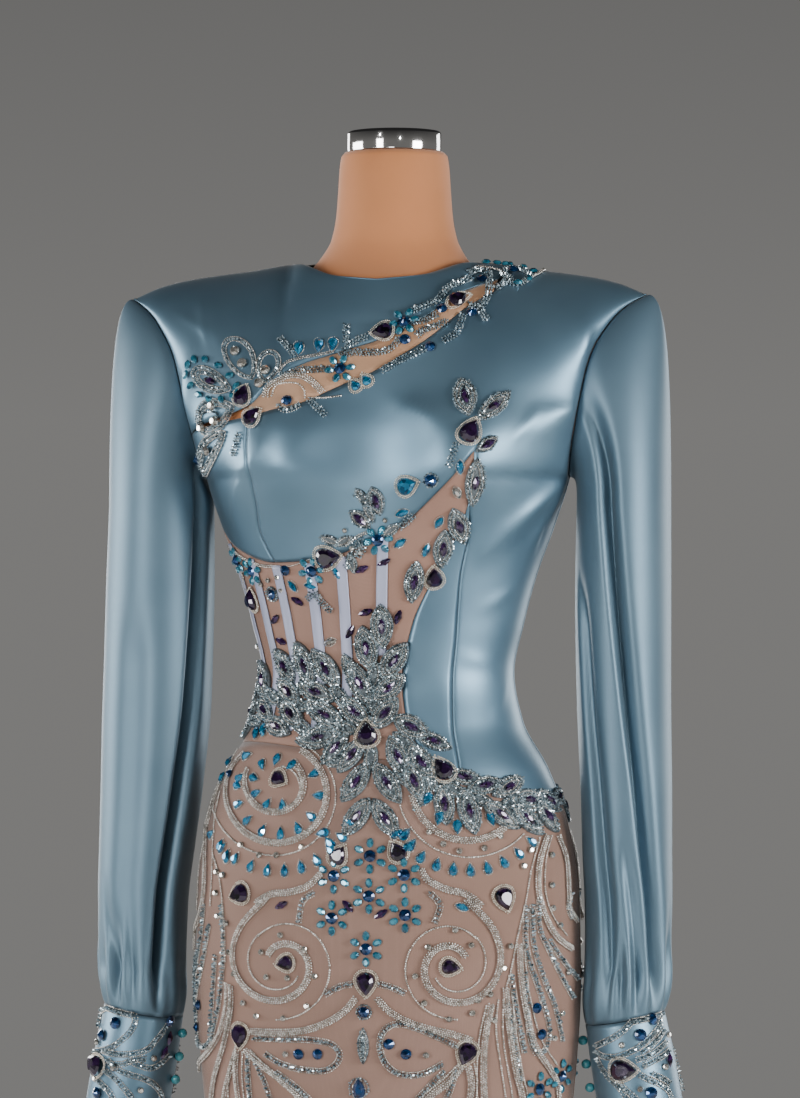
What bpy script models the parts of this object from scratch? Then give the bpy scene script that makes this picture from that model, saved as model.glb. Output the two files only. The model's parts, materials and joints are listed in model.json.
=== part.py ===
# Mermaid gown with long sleeves, worn on a dress form without limbs, on a round stand.
# Metres, +Z up. The origin is on the floor under the middle of the stand, and the gown faces -Y.
# R and L in the names are the wearer's right and left: the wearer's left is at +X.
import math
from bisect import bisect_right

import bmesh
import bpy
from mathutils import Vector

CLOTH = 0.0015
SEAM_GAP = 0.0012
TRIM_LIFT = 0.0007  # applied trim above the cloth's outer side

HEM_Z = 0.008
KNEE_Z = 0.470
UNDERARM_Z = 1.225
SHOULDER_Z = 1.405
NECK_HALF = 0.085
ARMHOLE_HALF = 0.045  # half the armhole, front to back
ARMHOLE_GAP = 0.0012  # sideways, from the armhole's edge to the sleeve

BASE_RADIUS = 0.180
POLE_RADIUS = 0.016
COLLAR_TOP = 0.050
FORM_BOTTOM = 0.600
NECK_TOP = 1.528
CAP_TOP = 1.548
CAP_RADIUS = 0.044
NECK_CENTRE = 0.004

# the gown's sections: height, half width, front depth, back depth
BODY = [
    (0.470, 0.140, 0.100, 0.112), (0.560, 0.158, 0.107, 0.124), (0.660, 0.174, 0.111, 0.132),
    (0.760, 0.180, 0.113, 0.137), (0.850, 0.178, 0.113, 0.136), (0.905, 0.168, 0.109, 0.127),
    (0.955, 0.150, 0.102, 0.111), (1.000, 0.126, 0.093, 0.092), (1.044, 0.118, 0.086, 0.082),
    (1.089, 0.127, 0.089, 0.086), (1.134, 0.139, 0.096, 0.094), (1.178, 0.155, 0.104, 0.102),
    (1.225, 0.170, 0.110, 0.106), (1.262, 0.177, 0.110, 0.104), (1.300, 0.185, 0.104, 0.100),
    (1.335, 0.194, 0.095, 0.093), (1.370, 0.213, 0.083, 0.084), (1.405, 0.241, 0.066, 0.072),
]
FLOUNCE = [
    (0.008, 0.385, 0.355, 0.395), (0.100, 0.335, 0.305, 0.340), (0.200, 0.272, 0.238, 0.268),
    (0.300, 0.212, 0.172, 0.197), (0.400, 0.160, 0.119, 0.135), (0.470, 0.140, 0.100, 0.112),
]
FLOUNCE_WAVES, FLOUNCE_COLUMNS, WAVE_HEIGHT = 12, 48, 0.026
BUST_X, BUST_Z, BUST_RISE, BUST_REACH = 0.088, 1.235, 0.026, 0.052
BUST_BELOW, BUST_ABOVE = 0.045, 0.062

# how far the form's surface lies inside the cloth's outer side, over its height: it touches at the waist
FORM_INSET = [(0.600, 0.0042), (0.950, 0.0042), (1.000, 0.0036), (1.090, 0.0036), (1.150, 0.0056),
              (1.240, 0.0076), (1.300, 0.0076), (1.405, 0.0095)]

# height of the neckline and shoulder seams over their half width
FRONT_LINE = [(0, 1.406), (0.040, 1.410), (0.085, 1.424), (0.130, 1.418), (0.160, 1.4145),
              (0.190, 1.410), (0.215, 1.404), (0.241, 1.393)]
BACK_LINE = [(0, 1.436), (0.040, 1.434)] + FRONT_LINE[2:]

# folds that stand out of the cloth: turn and height at each end, half width, rise
FOLDS = [
    (55, 1.372, 80, 1.330, 0.013, 0.0045),
    (84, 1.288, 50, 1.268, 0.016, 0.0050),
    (84, 1.240, 72, 1.175, 0.012, 0.0045),
    (80, 1.225, 45, 1.160, 0.013, 0.0035),
    (-47, 1.385, -51, 1.338, 0.011, 0.0035),
    (-36, 1.250, -56, 1.190, 0.013, 0.0030),
    (9, 1.292, 22, 1.273, 0.014, 0.0025),
    (-84, 1.278, -62, 1.330, 0.013, 0.0035),
    (118, 1.230, 145, 1.180, 0.014, 0.0035),
    (242, 1.230, 215, 1.180, 0.014, 0.0035),
]

SKIRT_LEVELS = (KNEE_Z, 0.580, 0.690, 0.785, 0.850, 0.895)
# how far the flounce's seams draw back: they lie on crests, where the walls lean together
FLOUNCE_EDGE = 0.0011
FLOUNCE_LEVELS = (HEM_Z, 0.085, 0.165, 0.245, 0.330, 0.405, KNEE_Z + FLOUNCE_EDGE)

# seams across the body: turn from the centre front in degrees, height
HIP_SEAM = [(-180, 0.955), (-90, 0.978), (-55, 0.981), (-25, 0.977), (0, 0.969), (21.5, 0.963),
            (31.8, 0.951), (56, 0.934), (90, 0.925), (180, 0.955)]
UNDERBUST = [(-90, 1.192), (-78, 1.172), (-64, 1.158), (-40.4, 1.146), (-19.3, 1.149),
             (-3.6, 1.161), (12, 1.183), (23.5, 1.212), (29.8, 1.231), (34.3, 1.247)]
YOKE_EDGE = [(-90, 1.262), (-60, 1.274), (-38, 1.2875), (-29.8, 1.305), (-22.6, 1.318),
             (-16.3, 1.3275), (-7.2, 1.338), (4.7, 1.352), (11.9, 1.364), (17.8, 1.375), (28, 1.3925)]
CHEST_EDGE = [(-90, 1.262), (-60, 1.271), (-38, 1.2785), (-29.2, 1.2835), (-19.8, 1.290),
              (-12.7, 1.300), (-7, 1.3085), (1, 1.320), (7.8, 1.333), (17.3, 1.352), (28.5, 1.3820)]
# seams up the body: height, turn
PRINCESS_R = [(1.146, -40.4), (1.157, -42.4), (1.174, -44), (1.200, -41.2), (1.233, -39.4),
              (1.252, -39.8), (1.2785, -38)]
PRINCESS_L = [(0.951, 31.8), (0.985, 34.2), (1.059, 37.3), (1.104, 35.8), (1.1395, 34.9), (1.163, 35.2),
              (1.200, 34.4)]
CUTOUT_L = [(0.963, 21.5), (1.003, 14.5), (1.039, 12.9), (1.0895, 16.4), (1.126, 22.7),
            (1.162, 29.4), (1.198, 33.6), (1.221, 34.8), (1.247, 34.3)]
BACK_TURNS = (90, 104, 118, 132, 145, 156, 165, 172.5, 180)
APEX = (34.3, 1.247)
SLASH_END = (28.5, 1.3820)
YOKE_END = (28.0, 1.3925)
SHOULDER_END = (29.5, SHOULDER_Z)

# sleeve sections below the armhole: height, centre from the middle, half width, half depth
SLEEVE_R = [
    (0.745, 0.2330, 0.0380, 0.0455), (0.785, 0.2342, 0.0408, 0.0480), (0.832, 0.2335, 0.0422, 0.0500),
    (0.880, 0.2299, 0.0447, 0.0520), (0.932, 0.2256, 0.0475, 0.0540), (1.020, 0.2202, 0.0508, 0.0570),
    (1.110, 0.2175, 0.0505, 0.0600), (1.200, 0.2157, 0.0487, 0.0620),
]
SLEEVE_L = [
    (0.745, 0.2214, 0.0387, 0.0455), (0.785, 0.2227, 0.0390, 0.0480), (0.832, 0.2240, 0.0403, 0.0500),
    (0.880, 0.2229, 0.0413, 0.0520), (0.932, 0.2222, 0.0420, 0.0540), (1.020, 0.2199, 0.0433, 0.0570),
    (1.110, 0.2192, 0.0441, 0.0600), (1.200, 0.2199, 0.0433, 0.0620),
]
SLEEVE_Y = 0.005
SLEEVE_COLUMNS, GATHERS, GATHER_DEPTH = 42, 14, 0.0032
SLEEVE_EDGE = 0.6  # degrees from a sleeve's seam to each of its two panels
HEAD_Z = 1.200
HEAD_STEPS = (0.0, 0.12, 0.32, 0.62)
ELBOW_Z = 1.090
SLEEVE_LEVELS = (1.200, ELBOW_Z, 0.980, 0.890, 0.835, 0.795, 0.765)
# long folds pressed into a sleeve: degrees round from its outer side, half width in degrees, depth
SLEEVE_FOLDS = {
    "R": [(128, 9, 0.0060), (52, 9, 0.0028), (248, 10, 0.0045), (300, 10, 0.0030)],
    "L": [(112, 9, 0.0065), (68, 8, 0.0028), (236, 10, 0.0045), (292, 10, 0.0030)],
}

CUFF_CENTRE = {"R": 0.2331, "L": 0.2210}
CUFF_TOP_Z = 0.726
CUFF_TILT = math.radians(10)
CUFF_LENGTH = 0.115
# cuff sections: distance down the cuff, half width, half depth
CUFF = [(0.0, 0.0370, 0.0445), (0.035, 0.0385, 0.0455), (0.075, 0.0390, 0.0460), (0.115, 0.0385, 0.0455)]
CUFF_COLUMNS = 24
BUTTON_RADIUS = 0.0045
BUTTONS_AT = (0.014, 0.036, 0.058, 0.080)

# bones over the midriff mesh: turn at the foot, turn at the top, height of the foot
BONES = [(-68, -73, 1.020), (-53, -55, 1.000), (-38.5, -40, 0.992), (-24.5, -24, 0.988), (-11.5, -11, 1.006),
         (3.5, 4.5, 1.062)]
BONE_WIDTH, BONE_THICKNESS = 0.0095, 0.0012

# thick trim: turn, height, lobes, long and short radius, widening across, degrees of lean, rise, rays, lift
TRIM = {
    "trim_chest_R": (-51, 1.303, 5, 0.044, 0.017, 1.0, 100, 0.0030, 40, 0.0014),
    "trim_slash": (-6, 1.328, 3, 0.034, 0.007, 1.3, 20, 0.0025, 24, 0.0011),
    "trim_neck_L": (21, 1.369, 2, 0.028, 0.010, 1.0, 35, 0.0030, 20, 0.0016),
    "trim_apex_L": (33.5, 1.262, 3, 0.030, 0.010, 1.0, 88, 0.0030, 24, 0.0010),
    "trim_edge_L": (22, 1.125, 2, 0.036, 0.010, 0.9, 62, 0.0025, 20, 0.0018),
    "trim_underbust": (-17, 1.149, 2, 0.052, 0.011, 1.0, 6, 0.0025, 24, 0.0030),
    "trim_hip": (-1, 1.000, 7, 0.058, 0.024, 1.0, 90, 0.0030, 42, 0.0030),
    "trim_hip_L": (47, 0.940, 4, 0.036, 0.014, 1.2, -12, 0.0030, 28, 0.0011),
}
# ropes of beads on the skirt: turn and height of each ring's middle, its radius
RINGS = {"rope_ring_R": (-34, 0.942, 0.030), "rope_ring_L": (28, 0.868, 0.028)}
ROPE_RADIUS = 0.003
# a rope's way down the skirt: turn, height
SWEEPS = {
    "rope_sweep_R": [(-62, 0.900), (-70, 0.850), (-66, 0.790), (-55, 0.735), (-44, 0.690), (-40, 0.640),
                     (-50, 0.585), (-62, 0.545)],
    "rope_sweep_L": [(66, 0.860), (70, 0.810), (62, 0.755), (48, 0.715), (40, 0.665), (42, 0.620),
                     (54, 0.575), (64, 0.540)],
    "rope_scroll_R": [(-8, 0.745), (-22, 0.735), (-36, 0.760), (-38, 0.795), (-28, 0.815), (-19, 0.800),
                      (-18, 0.778)],
    "rope_scroll_L": [(8, 0.745), (21, 0.733), (34, 0.757), (36, 0.792), (27, 0.812), (18, 0.797),
                      (17, 0.776)],
}

# the form's neck: height, half width, half depth, middle of the depth
NECK = [
    (1.340, 0.060, 0.040, 0.004), (1.385, 0.078, 0.054, 0.003), (1.404, 0.0815, 0.064, 0.002),
    (1.416, 0.0785, 0.0585, 0.005), (1.427, 0.0700, 0.0550, 0.008), (1.436, 0.0640, 0.0540, 0.011),
    (1.446, 0.0590, 0.0535, 0.013), (1.468, 0.0545, 0.0535, 0.014), (1.490, 0.0527, 0.0525, 0.014),
    (1.513, 0.0512, 0.0512, 0.014), (1.524, 0.0496, 0.0496, 0.014), (1.528, 0.0465, 0.0465, 0.014),
]

SATIN = ("satin", (0.16, 0.235, 0.32), 0.32, 0.0)
MESH = ("nude_mesh", (0.46, 0.33, 0.26), 0.75, 0.0)
SKIRT_MESH = ("skirt_mesh", (0.33, 0.25, 0.21), 0.7, 0.0)
BONE_SATIN = ("bone_satin", (0.36, 0.38, 0.50), 0.4, 0.0)
FORM_COVER = ("form_cover", (0.66, 0.40, 0.24), 0.8, 0.0)
METAL = ("polished_metal", (0.75, 0.75, 0.75), 0.15, 1.0)
STAND_PAINT = ("stand_paint", (0.10, 0.10, 0.105), 0.4, 0.0)
CRYSTAL = ("crystal_trim", (0.62, 0.66, 0.68), 0.25, 0.4)
TURQUOISE = ("turquoise", (0.03, 0.20, 0.24), 0.15, 0.0)


def smooth(table, at, column=1):
    """The column's value at a key, by a smooth curve that never overshoots its table."""
    keys = [row[0] for row in table]
    at = min(max(at, keys[0]), keys[-1])
    i = min(max(bisect_right(keys, at) - 1, 0), len(keys) - 2)

    def rate(j):
        return (table[j + 1][column] - table[j][column]) / (keys[j + 1] - keys[j])

    def slope(j):
        if j == 0 or j == len(keys) - 1:
            return rate(min(j, len(keys) - 2))
        before, after = rate(j - 1), rate(j)
        return 2 * before * after / (before + after) if before * after > 0 else 0.0

    step = keys[i + 1] - keys[i]
    t = (at - keys[i]) / step
    return ((2 * t**3 - 3 * t**2 + 1) * table[i][column] + (t**3 - 2 * t**2 + t) * step * slope(i)
            + (-2 * t**3 + 3 * t**2) * table[i + 1][column] + (t**3 - t**2) * step * slope(i + 1))


def mix(a, b, share):
    return a + (b - a) * share


def bust(x, z):
    reach = BUST_BELOW if z < BUST_Z else BUST_ABOVE
    return BUST_RISE * sum(
        math.exp(-((x - side * BUST_X) / BUST_REACH) ** 2 - ((z - BUST_Z) / reach) ** 2) for side in (-1, 1))


def fold_rise(turn, level):
    """How far the folds lift the cloth at a place."""
    metres = 0.0026  # along the body for one degree of turn
    rise = 0.0
    for turn_a, level_a, turn_b, level_b, width, height in FOLDS:
        reach = Vector(((turn_b - turn_a) * metres, level_b - level_a))
        place = Vector(((turn - turn_a) * metres, level - level_a))
        along = min(max(place.dot(reach) / reach.length_squared, 0.0), 1.0)
        away = (place - reach * along).length / width
        if away < 2.5:
            rise += height * math.exp(-away * away) * math.sin(math.pi * (0.12 + 0.76 * along))
    return rise


def body(turn, level, back=False, folded=True):
    """A point of the gown's outer side. Turn runs from the centre front in degrees, to +X; level is its
    height up to the underarm, and above it runs on to SHOULDER_Z at the neckline and shoulder seams."""
    angle = math.radians(turn)
    half = smooth(BODY, level, 1)
    x = half * math.sin(angle)
    depth = smooth(BODY, level, 3 if back else 2)
    share = abs(math.cos(angle))
    y, z = depth * share, level
    if level > UNDERARM_Z:
        up = (level - UNDERARM_Z) / (SHOULDER_Z - UNDERARM_Z)
        edge = ARMHOLE_HALF * 2 * math.sqrt(max(up * (1 - up), 0.0))
        y = edge + (depth - edge) * share
        z = level + (smooth(BACK_LINE if back else FRONT_LINE, abs(x)) - SHOULDER_Z) * up * up
        over = min(max((up - 0.45) / 0.55, 0.0), 1.0)
        roll = math.sqrt(max(1 - over**2.2, 0.0))
        neck = max(1 - (x / NECK_HALF) ** 2, 0.0) ** 0.6
        y *= neck + (1 - neck) * roll
    if not back:
        y += bust(x, z)
    side_room = min(1.0, share * 4)  # no fold crosses a side seam or an armhole
    rise = fold_rise(turn, level) * side_room if folded else 0.0
    return Vector((x + rise * math.sin(angle), (y + rise * share) * (1 if back else -1), z))


def flounce(turn, level):
    """A point of the flounce's outer side, below the knee."""
    back = 90 < turn < 270
    angle = math.radians(turn)
    down = max(0.0, (KNEE_Z - level) / (KNEE_Z - HEM_Z))
    wave = math.cos(math.radians(FLOUNCE_WAVES * turn + 24 * math.sin(angle * 3)))
    rise = WAVE_HEIGHT * down**1.6 * wave * (1 + 0.25 * math.sin(angle * 2 + 0.6))
    half = smooth(FLOUNCE, level, 1) + rise
    depth = smooth(FLOUNCE, level, 3 if back else 2) + rise
    share = abs(math.cos(angle))
    return Vector((half * math.sin(angle), depth * share * (1 if back else -1), level))


def outward(turn, level, back=False, folded=True):
    low, high = (90, 270) if back else (-90, 90)
    step, rise = 0.5, 0.001
    turns = max(turn - step, low), min(turn + step, high)
    levels = level - rise, min(level + rise, SHOULDER_Z)
    along = body(turns[1], level, back, folded) - body(turns[0], level, back, folded)
    up = body(turn, levels[1], back, folded) - body(turn, levels[0], back, folded)
    return along.cross(up).normalized()


def raised(turn, level, lift, back=False, folded=True):
    return body(turn, level, back, folded) + outward(turn, level, back, folded) * lift


def material_for(kind):
    name, colour, roughness, metallic = kind
    found = bpy.data.materials.get(name)
    if found:
        return found
    material = bpy.data.materials.new(name)
    material.use_nodes = True
    shader = material.node_tree.nodes["Principled BSDF"]
    shader.inputs["Base Color"].default_value = (*colour, 1.0)
    shader.inputs["Roughness"].default_value = roughness
    shader.inputs["Metallic"].default_value = metallic
    material.diffuse_color = (*colour, 1.0)
    return material


def object_from(name, cage, kind, sharp_degrees=50):
    mesh = bpy.data.meshes.new(name)
    cage.to_mesh(mesh)
    cage.free()
    mesh.materials.append(material_for(kind))
    mesh.shade_smooth()
    mesh.set_sharp_from_angle(angle=math.radians(sharp_degrees))
    made = bpy.data.objects.new(name, mesh)
    parts.objects.link(made)
    return made


def solidify(made, thickness=CLOTH):
    wall = made.modifiers.new("wall", "SOLIDIFY")
    wall.thickness = thickness
    wall.offset = -1
    wall.use_even_offset = True
    return made


def run(start, end, steps):
    return [mix(start, end, i / steps) for i in range(steps + 1)]


def across(seam, start, end, steps):
    """Places along a seam that crosses the body, from one turn to another."""
    return [(turn, smooth(seam, turn)) for turn in run(start, end, steps)]


def upward(seam, levels):
    """Places along a seam that runs up the body."""
    return [(smooth(seam, level), level) for level in levels]


def shares(side_a, side_b):
    """How far along each place lies between the ends, as the mean of two opposite edges."""
    def one(side):
        total = [0.0]
        for a, b in zip(side, side[1:]):
            total.append(total[-1] + math.hypot((b[0] - a[0]) * 0.0026, b[1] - a[1]))
        return [t / total[-1] if total[-1] else i / (len(total) - 1) for i, t in enumerate(total)]
    return [(a + b) / 2 for a, b in zip(one(side_a), one(side_b))]


def patch(bottom, top, left, right):
    """Places of a four-sided piece between its edges, row by row."""
    us, vs = shares(bottom, top), shares(left, right)
    rows = []
    for j, v in enumerate(vs):
        row = []
        for i, u in enumerate(us):
            row.append(tuple(
                (1 - v) * bottom[i][k] + v * top[i][k] + (1 - u) * left[j][k] + u * right[j][k]
                - (1 - u) * (1 - v) * bottom[0][k] - u * (1 - v) * bottom[-1][k]
                - (1 - u) * v * top[0][k] - u * v * top[-1][k] for k in (0, 1)))
        rows.append(row)
    return rows


def add_grid(cage, points, around=False, flip=False):
    """Faces between rows of points, closed round where the rows are rings."""
    rows = [[cage.verts.new(point) for point in row] for row in points]
    columns = len(rows[0])
    for low, high in zip(rows, rows[1:]):
        for i in range(columns if around else columns - 1):
            j = (i + 1) % columns
            corners = (low[i], low[j], high[j], high[i])
            cage.faces.new(corners[::-1] if flip else corners)
    return rows


def draw_in_edges(cage, distance):
    """Moves the open edge back along the cloth, so that a seam keeps its gap."""
    cage.normal_update()
    inward = {}
    for edge in cage.edges:
        if not edge.is_boundary:
            continue
        face = edge.link_faces[0]
        a, b = edge.verts
        way = face.normal.cross(b.co - a.co).normalized()
        if way.dot(face.calc_center_median() - (a.co + b.co) / 2) < 0:
            way.negate()
        for corner in (a, b):
            inward.setdefault(corner, []).append(way)
    for corner, ways in inward.items():
        total = sum(ways, Vector())
        spread = 1 + (ways[0].dot(ways[1]) if len(ways) > 1 else 0)
        corner.co += total * distance / max(spread, 0.35)


def cloth(name, patches, kind, back=False):
    cage = bmesh.new()
    for rows in patches:
        add_grid(cage, [[body(turn, level, back) for turn, level in row] for row in rows])
    bmesh.ops.remove_doubles(cage, verts=cage.verts, dist=1e-5)
    draw_in_edges(cage, SEAM_GAP / 2)
    return solidify(object_from(name, cage, kind))


def toward_shoulder(start):
    """Levels from start to the shoulder seam, closer together where the cloth rolls over."""
    return [mix(start, SHOULDER_Z, share) for share in (0, 0.2, 0.4, 0.6, 0.78, 0.90, 0.97, 0.997, 1)]


def make_bodice():
    top = toward_shoulder(1.262)
    yoke_right = [(mix(YOKE_END[0], SHOULDER_END[0], (level - 1.262) / (SHOULDER_Z - 1.262)),
                   mix(YOKE_END[1], SHOULDER_Z, (level - 1.262) / (SHOULDER_Z - 1.262))) for level in top]
    cloth("yoke_front", [patch(
        across(YOKE_EDGE, -90, -38, 6) + across(YOKE_EDGE, -38, YOKE_END[0], 12)[1:],
        [(turn, SHOULDER_Z) for turn in run(-90, SHOULDER_END[0], 18)],
        [(-90, level) for level in top], yoke_right)], SATIN)

    cloth("inset_slash", [patch(
        across(CHEST_EDGE, -38, SLASH_END[0], 12), across(YOKE_EDGE, -38, YOKE_END[0], 12),
        [(-38, 1.2785), (-38, 1.2875)], [SLASH_END, YOKE_END])], MESH)

    princess = upward(PRINCESS_R, run(1.146, 1.2785, 8))
    cloth("bust_side_R", [patch(
        across(UNDERBUST, -90, -40.4, 6), across(CHEST_EDGE, -90, -38, 6),
        [(-90, level) for level in run(1.192, 1.262, 8)], princess)], SATIN)

    shared = [(mix(APEX[0], SLASH_END[0], i / 8), mix(APEX[1], SLASH_END[1], i / 8)) for i in range(9)]
    chest = patch(across(UNDERBUST, -40.4, APEX[0], 12), across(CHEST_EDGE, -38, SLASH_END[0], 12),
                  princess, shared)
    low_left = upward(PRINCESS_L, run(0.951, 1.200, 8)) + upward(CUTOUT_L, [1.223])
    near_top = [mix(SLASH_END[1], SHOULDER_Z, share) for share in (0.5, 0.82, 0.97, 1)]
    end_rise = SHOULDER_Z - SLASH_END[1]
    end_side = [(mix(SLASH_END[0], SHOULDER_END[0], (level - SLASH_END[1]) / end_rise), level)
                for level in near_top]
    side_left = low_left + shared + end_side
    side_right = ([(90, level) for level in run(0.925, 1.225, 9)]
                  + [(90, level) for level in run(1.242, 1.382, 7)]
                  + [(90, mix(1.382, SHOULDER_Z, share)) for share in (0.5, 0.82, 0.97, 1)])
    side = patch(across(HIP_SEAM, 31.8, 90, 8), [(turn, SHOULDER_Z) for turn in run(SHOULDER_END[0], 90, 8)],
                 side_left, side_right)
    cloth("front_main", [chest, side], SATIN)

    cutout = upward(CUTOUT_L, run(0.963, 1.198, 8))
    cutout_to_apex = cutout + upward(CUTOUT_L, [1.223, APEX[1]])
    cloth("front_centre_L", [patch(
        across(HIP_SEAM, 21.5, 31.8, 2), [cutout[-1], (34.0, 1.199), (34.4, 1.200)], cutout,
        upward(PRINCESS_L, run(0.951, 1.200, 8)))], SATIN)

    cloth("inset_midriff", [patch(
        across(HIP_SEAM, -90, 21.5, 18),
        across(UNDERBUST, -90, -40.4, 6) + across(UNDERBUST, -40.4, APEX[0], 12)[1:],
        [(-90, level) for level in run(0.978, 1.192, 10)], cutout_to_apex)], MESH)

    for name, turns in (("back_L", BACK_TURNS), ("back_R", [360 - turn for turn in BACK_TURNS[::-1]])):
        hip = [(turn, smooth(HIP_SEAM, turn if name == "back_L" else turn - 360)) for turn in turns]
        edges = [[(turn, level) for level in run(foot, UNDERARM_Z, 8)[:-1] + toward_shoulder(UNDERARM_Z)]
                 for turn, foot in (hip[0], hip[-1])]
        cloth(name, [patch(hip, [(turn, SHOULDER_Z) for turn in turns], *edges)], SATIN, back=True)


def skirt_piece(name, start, end, columns, back, hip_shift=0):
    top = [(turn, smooth(HIP_SEAM, turn + hip_shift)) for turn in run(start, end, columns)]
    bottom = [(turn, KNEE_Z) for turn in run(start, end, columns)]
    edges = [[(turn, level) for level in (*SKIRT_LEVELS, mix(SKIRT_LEVELS[-1], high, 0.5), high)]
             for turn, high in (top[0], top[-1])]
    cloth(name, [patch(bottom, top, *edges)], SKIRT_MESH, back=back)


def make_skirt():
    skirt_piece("skirt_front", -90, 90, 16, False)
    skirt_piece("skirt_back_L", 90, 180, 8, True)
    skirt_piece("skirt_back_R", 180, 270, 8, True, -360)
    for name, start, end in (("flounce_front", -90, 90), ("flounce_back_L", 90, 180),
                             ("flounce_back_R", 180, 270)):
        turns = run(start, end, FLOUNCE_COLUMNS * (end - start) // 360)
        cage = bmesh.new()
        add_grid(cage, [[flounce(turn, level) for turn in turns] for level in FLOUNCE_LEVELS])
        draw_in_edges(cage, FLOUNCE_EDGE)
        solidify(object_from(name, cage, SKIRT_MESH))


def ring_about(centre, wide, deep, count):
    """A closed level ring of points."""
    angles = [2 * math.pi * i / count for i in range(count)]
    return [centre + Vector((wide * math.cos(angle), -deep * math.sin(angle), 0)) for angle in angles]


def capped(name, rings, kind, sharp_degrees=50):
    """A closed body through rings of points that run from the bottom up."""
    cage = bmesh.new()
    rows = add_grid(cage, rings, around=True)
    cage.faces.new(rows[0][::-1])
    cage.faces.new(rows[-1])
    bmesh.ops.recalc_face_normals(cage, faces=cage.faces)
    return object_from(name, cage, kind, sharp_degrees)


def make_form():
    levels = [FORM_BOTTOM, 0.690, 0.785, 0.850, 0.895, 0.930, 0.965, 1.000, 1.044, 1.095, 1.145, 1.190,
              1.235, 1.275, 1.315, 1.350, 1.375, 1.388]
    rings = []
    for level in levels:
        inset = smooth(FORM_INSET, level)
        front = [raised(turn, level, -inset, False, False) for turn in run(-90, 90, 18)]
        back = [raised(turn, level, -inset, True, False) for turn in run(98, 262, 14)]
        rings.append(front + back)
    torso = capped("form_torso", rings, FORM_COVER)
    neck_rings = [ring_about(Vector((NECK_CENTRE, middle, z)), wide, deep, 24)
                  for z, wide, deep, middle in NECK]
    neck = capped("form_neck_core", neck_rings, FORM_COVER)
    parts.objects.unlink(neck)
    helpers.objects.link(neck)
    neck.hide_render = True
    neck.display_type = "WIRE"
    join = torso.modifiers.new("neck", "BOOLEAN")
    join.operation = "UNION"
    join.object = neck

    cap = turned("form_neck_cap", [
        (0, CAP_TOP), (CAP_RADIUS - 0.0015, CAP_TOP), (CAP_RADIUS, CAP_TOP - 0.0015),
        (CAP_RADIUS, NECK_TOP + 0.0003), (0, NECK_TOP + 0.0003)], METAL, 28)
    cap.location = (NECK_CENTRE, NECK[-1][3], 0)
    turned("form_pole", [(0, FORM_BOTTOM - 0.0003), (POLE_RADIUS, FORM_BOTTOM - 0.0003),
                         (POLE_RADIUS, COLLAR_TOP + 0.0003), (0, COLLAR_TOP + 0.0003)], METAL, 16)
    turned("form_base", [(0, COLLAR_TOP), (0.026, COLLAR_TOP), (0.028, 0.048), (0.030, 0.024), (0.060, 0.017),
                         (BASE_RADIUS - 0.008, 0.012), (BASE_RADIUS, 0.007), (BASE_RADIUS, 0.0), (0, 0.0)],
           STAND_PAINT, 30)


def turned(name, profile, kind, steps):
    mesh = bpy.data.meshes.new(name)
    points = [(radius, 0, height) for radius, height in profile]
    mesh.from_pydata(points, [(i, i + 1) for i in range(len(points) - 1)], [])
    mesh.materials.append(material_for(kind))
    made = bpy.data.objects.new(name, mesh)
    parts.objects.link(made)
    spin = made.modifiers.new("turn", "SCREW")
    spin.steps = spin.render_steps = steps
    spin.use_merge_vertices = True
    spin.merge_threshold = 0.00001
    spin.use_smooth_shade = True
    return made


def sleeve_rib(name, degrees, z):
    """How far the folds and the gathers move a sleeve's wall at one place."""
    rib = 0.0
    fade = min(1.0, max(0.0, (1.26 - z) / 0.10)) * min(1.0, max(0.0, (z - 0.74) / 0.12))
    for place, width, depth in SLEEVE_FOLDS[name]:
        off = (degrees - place + 180) % 360 - 180
        rib -= depth * math.exp(-(off / width) ** 2) * fade
    gather = smooth([(0.725, 0.25), (0.750, 0.8), (0.785, 1.0), (0.835, 0.6), (0.900, 0.25), (0.980, 0.0)], z)
    inner = max(-math.cos(math.radians(degrees)), 0)
    return rib + GATHER_DEPTH * gather * (1 - 0.7 * inner) * math.cos(math.radians(degrees * GATHERS))


def cuff_frame(name):
    side = 1 if name == "L" else -1
    origin = Vector((side * CUFF_CENTRE[name], SLEEVE_Y, CUFF_TOP_Z))
    down = Vector((side * math.sin(CUFF_TILT), 0, -math.cos(CUFF_TILT)))
    outer = Vector((side * math.cos(CUFF_TILT), 0, math.sin(CUFF_TILT)))
    return origin, down, outer


def cuff_point(name, degrees, along, lift=0.0):
    origin, down, outer = cuff_frame(name)
    angle = math.radians(degrees)
    wide, deep = smooth(CUFF, along, 1) + lift, smooth(CUFF, along, 2) + lift
    return (origin + down * along + outer * wide * math.cos(angle)
            + Vector((0, -1, 0)) * deep * math.sin(angle))


def sleeve_section(name, degrees, z):
    side = 1 if name == "L" else -1
    table = SLEEVE_L if name == "L" else SLEEVE_R
    angle = math.radians(degrees)
    rib = sleeve_rib(name, degrees, z)
    across_x = (smooth(table, z, 2) + rib) * math.cos(angle)
    tilt = min(1.0, max(0.0, (0.835 - z) / 0.10)) * math.tan(CUFF_TILT)
    deep = smooth(table, z, 3) + rib
    return Vector((side * (smooth(table, z, 1) + across_x), SLEEVE_Y - deep * math.sin(angle),
                   z + tilt * across_x))


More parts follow.
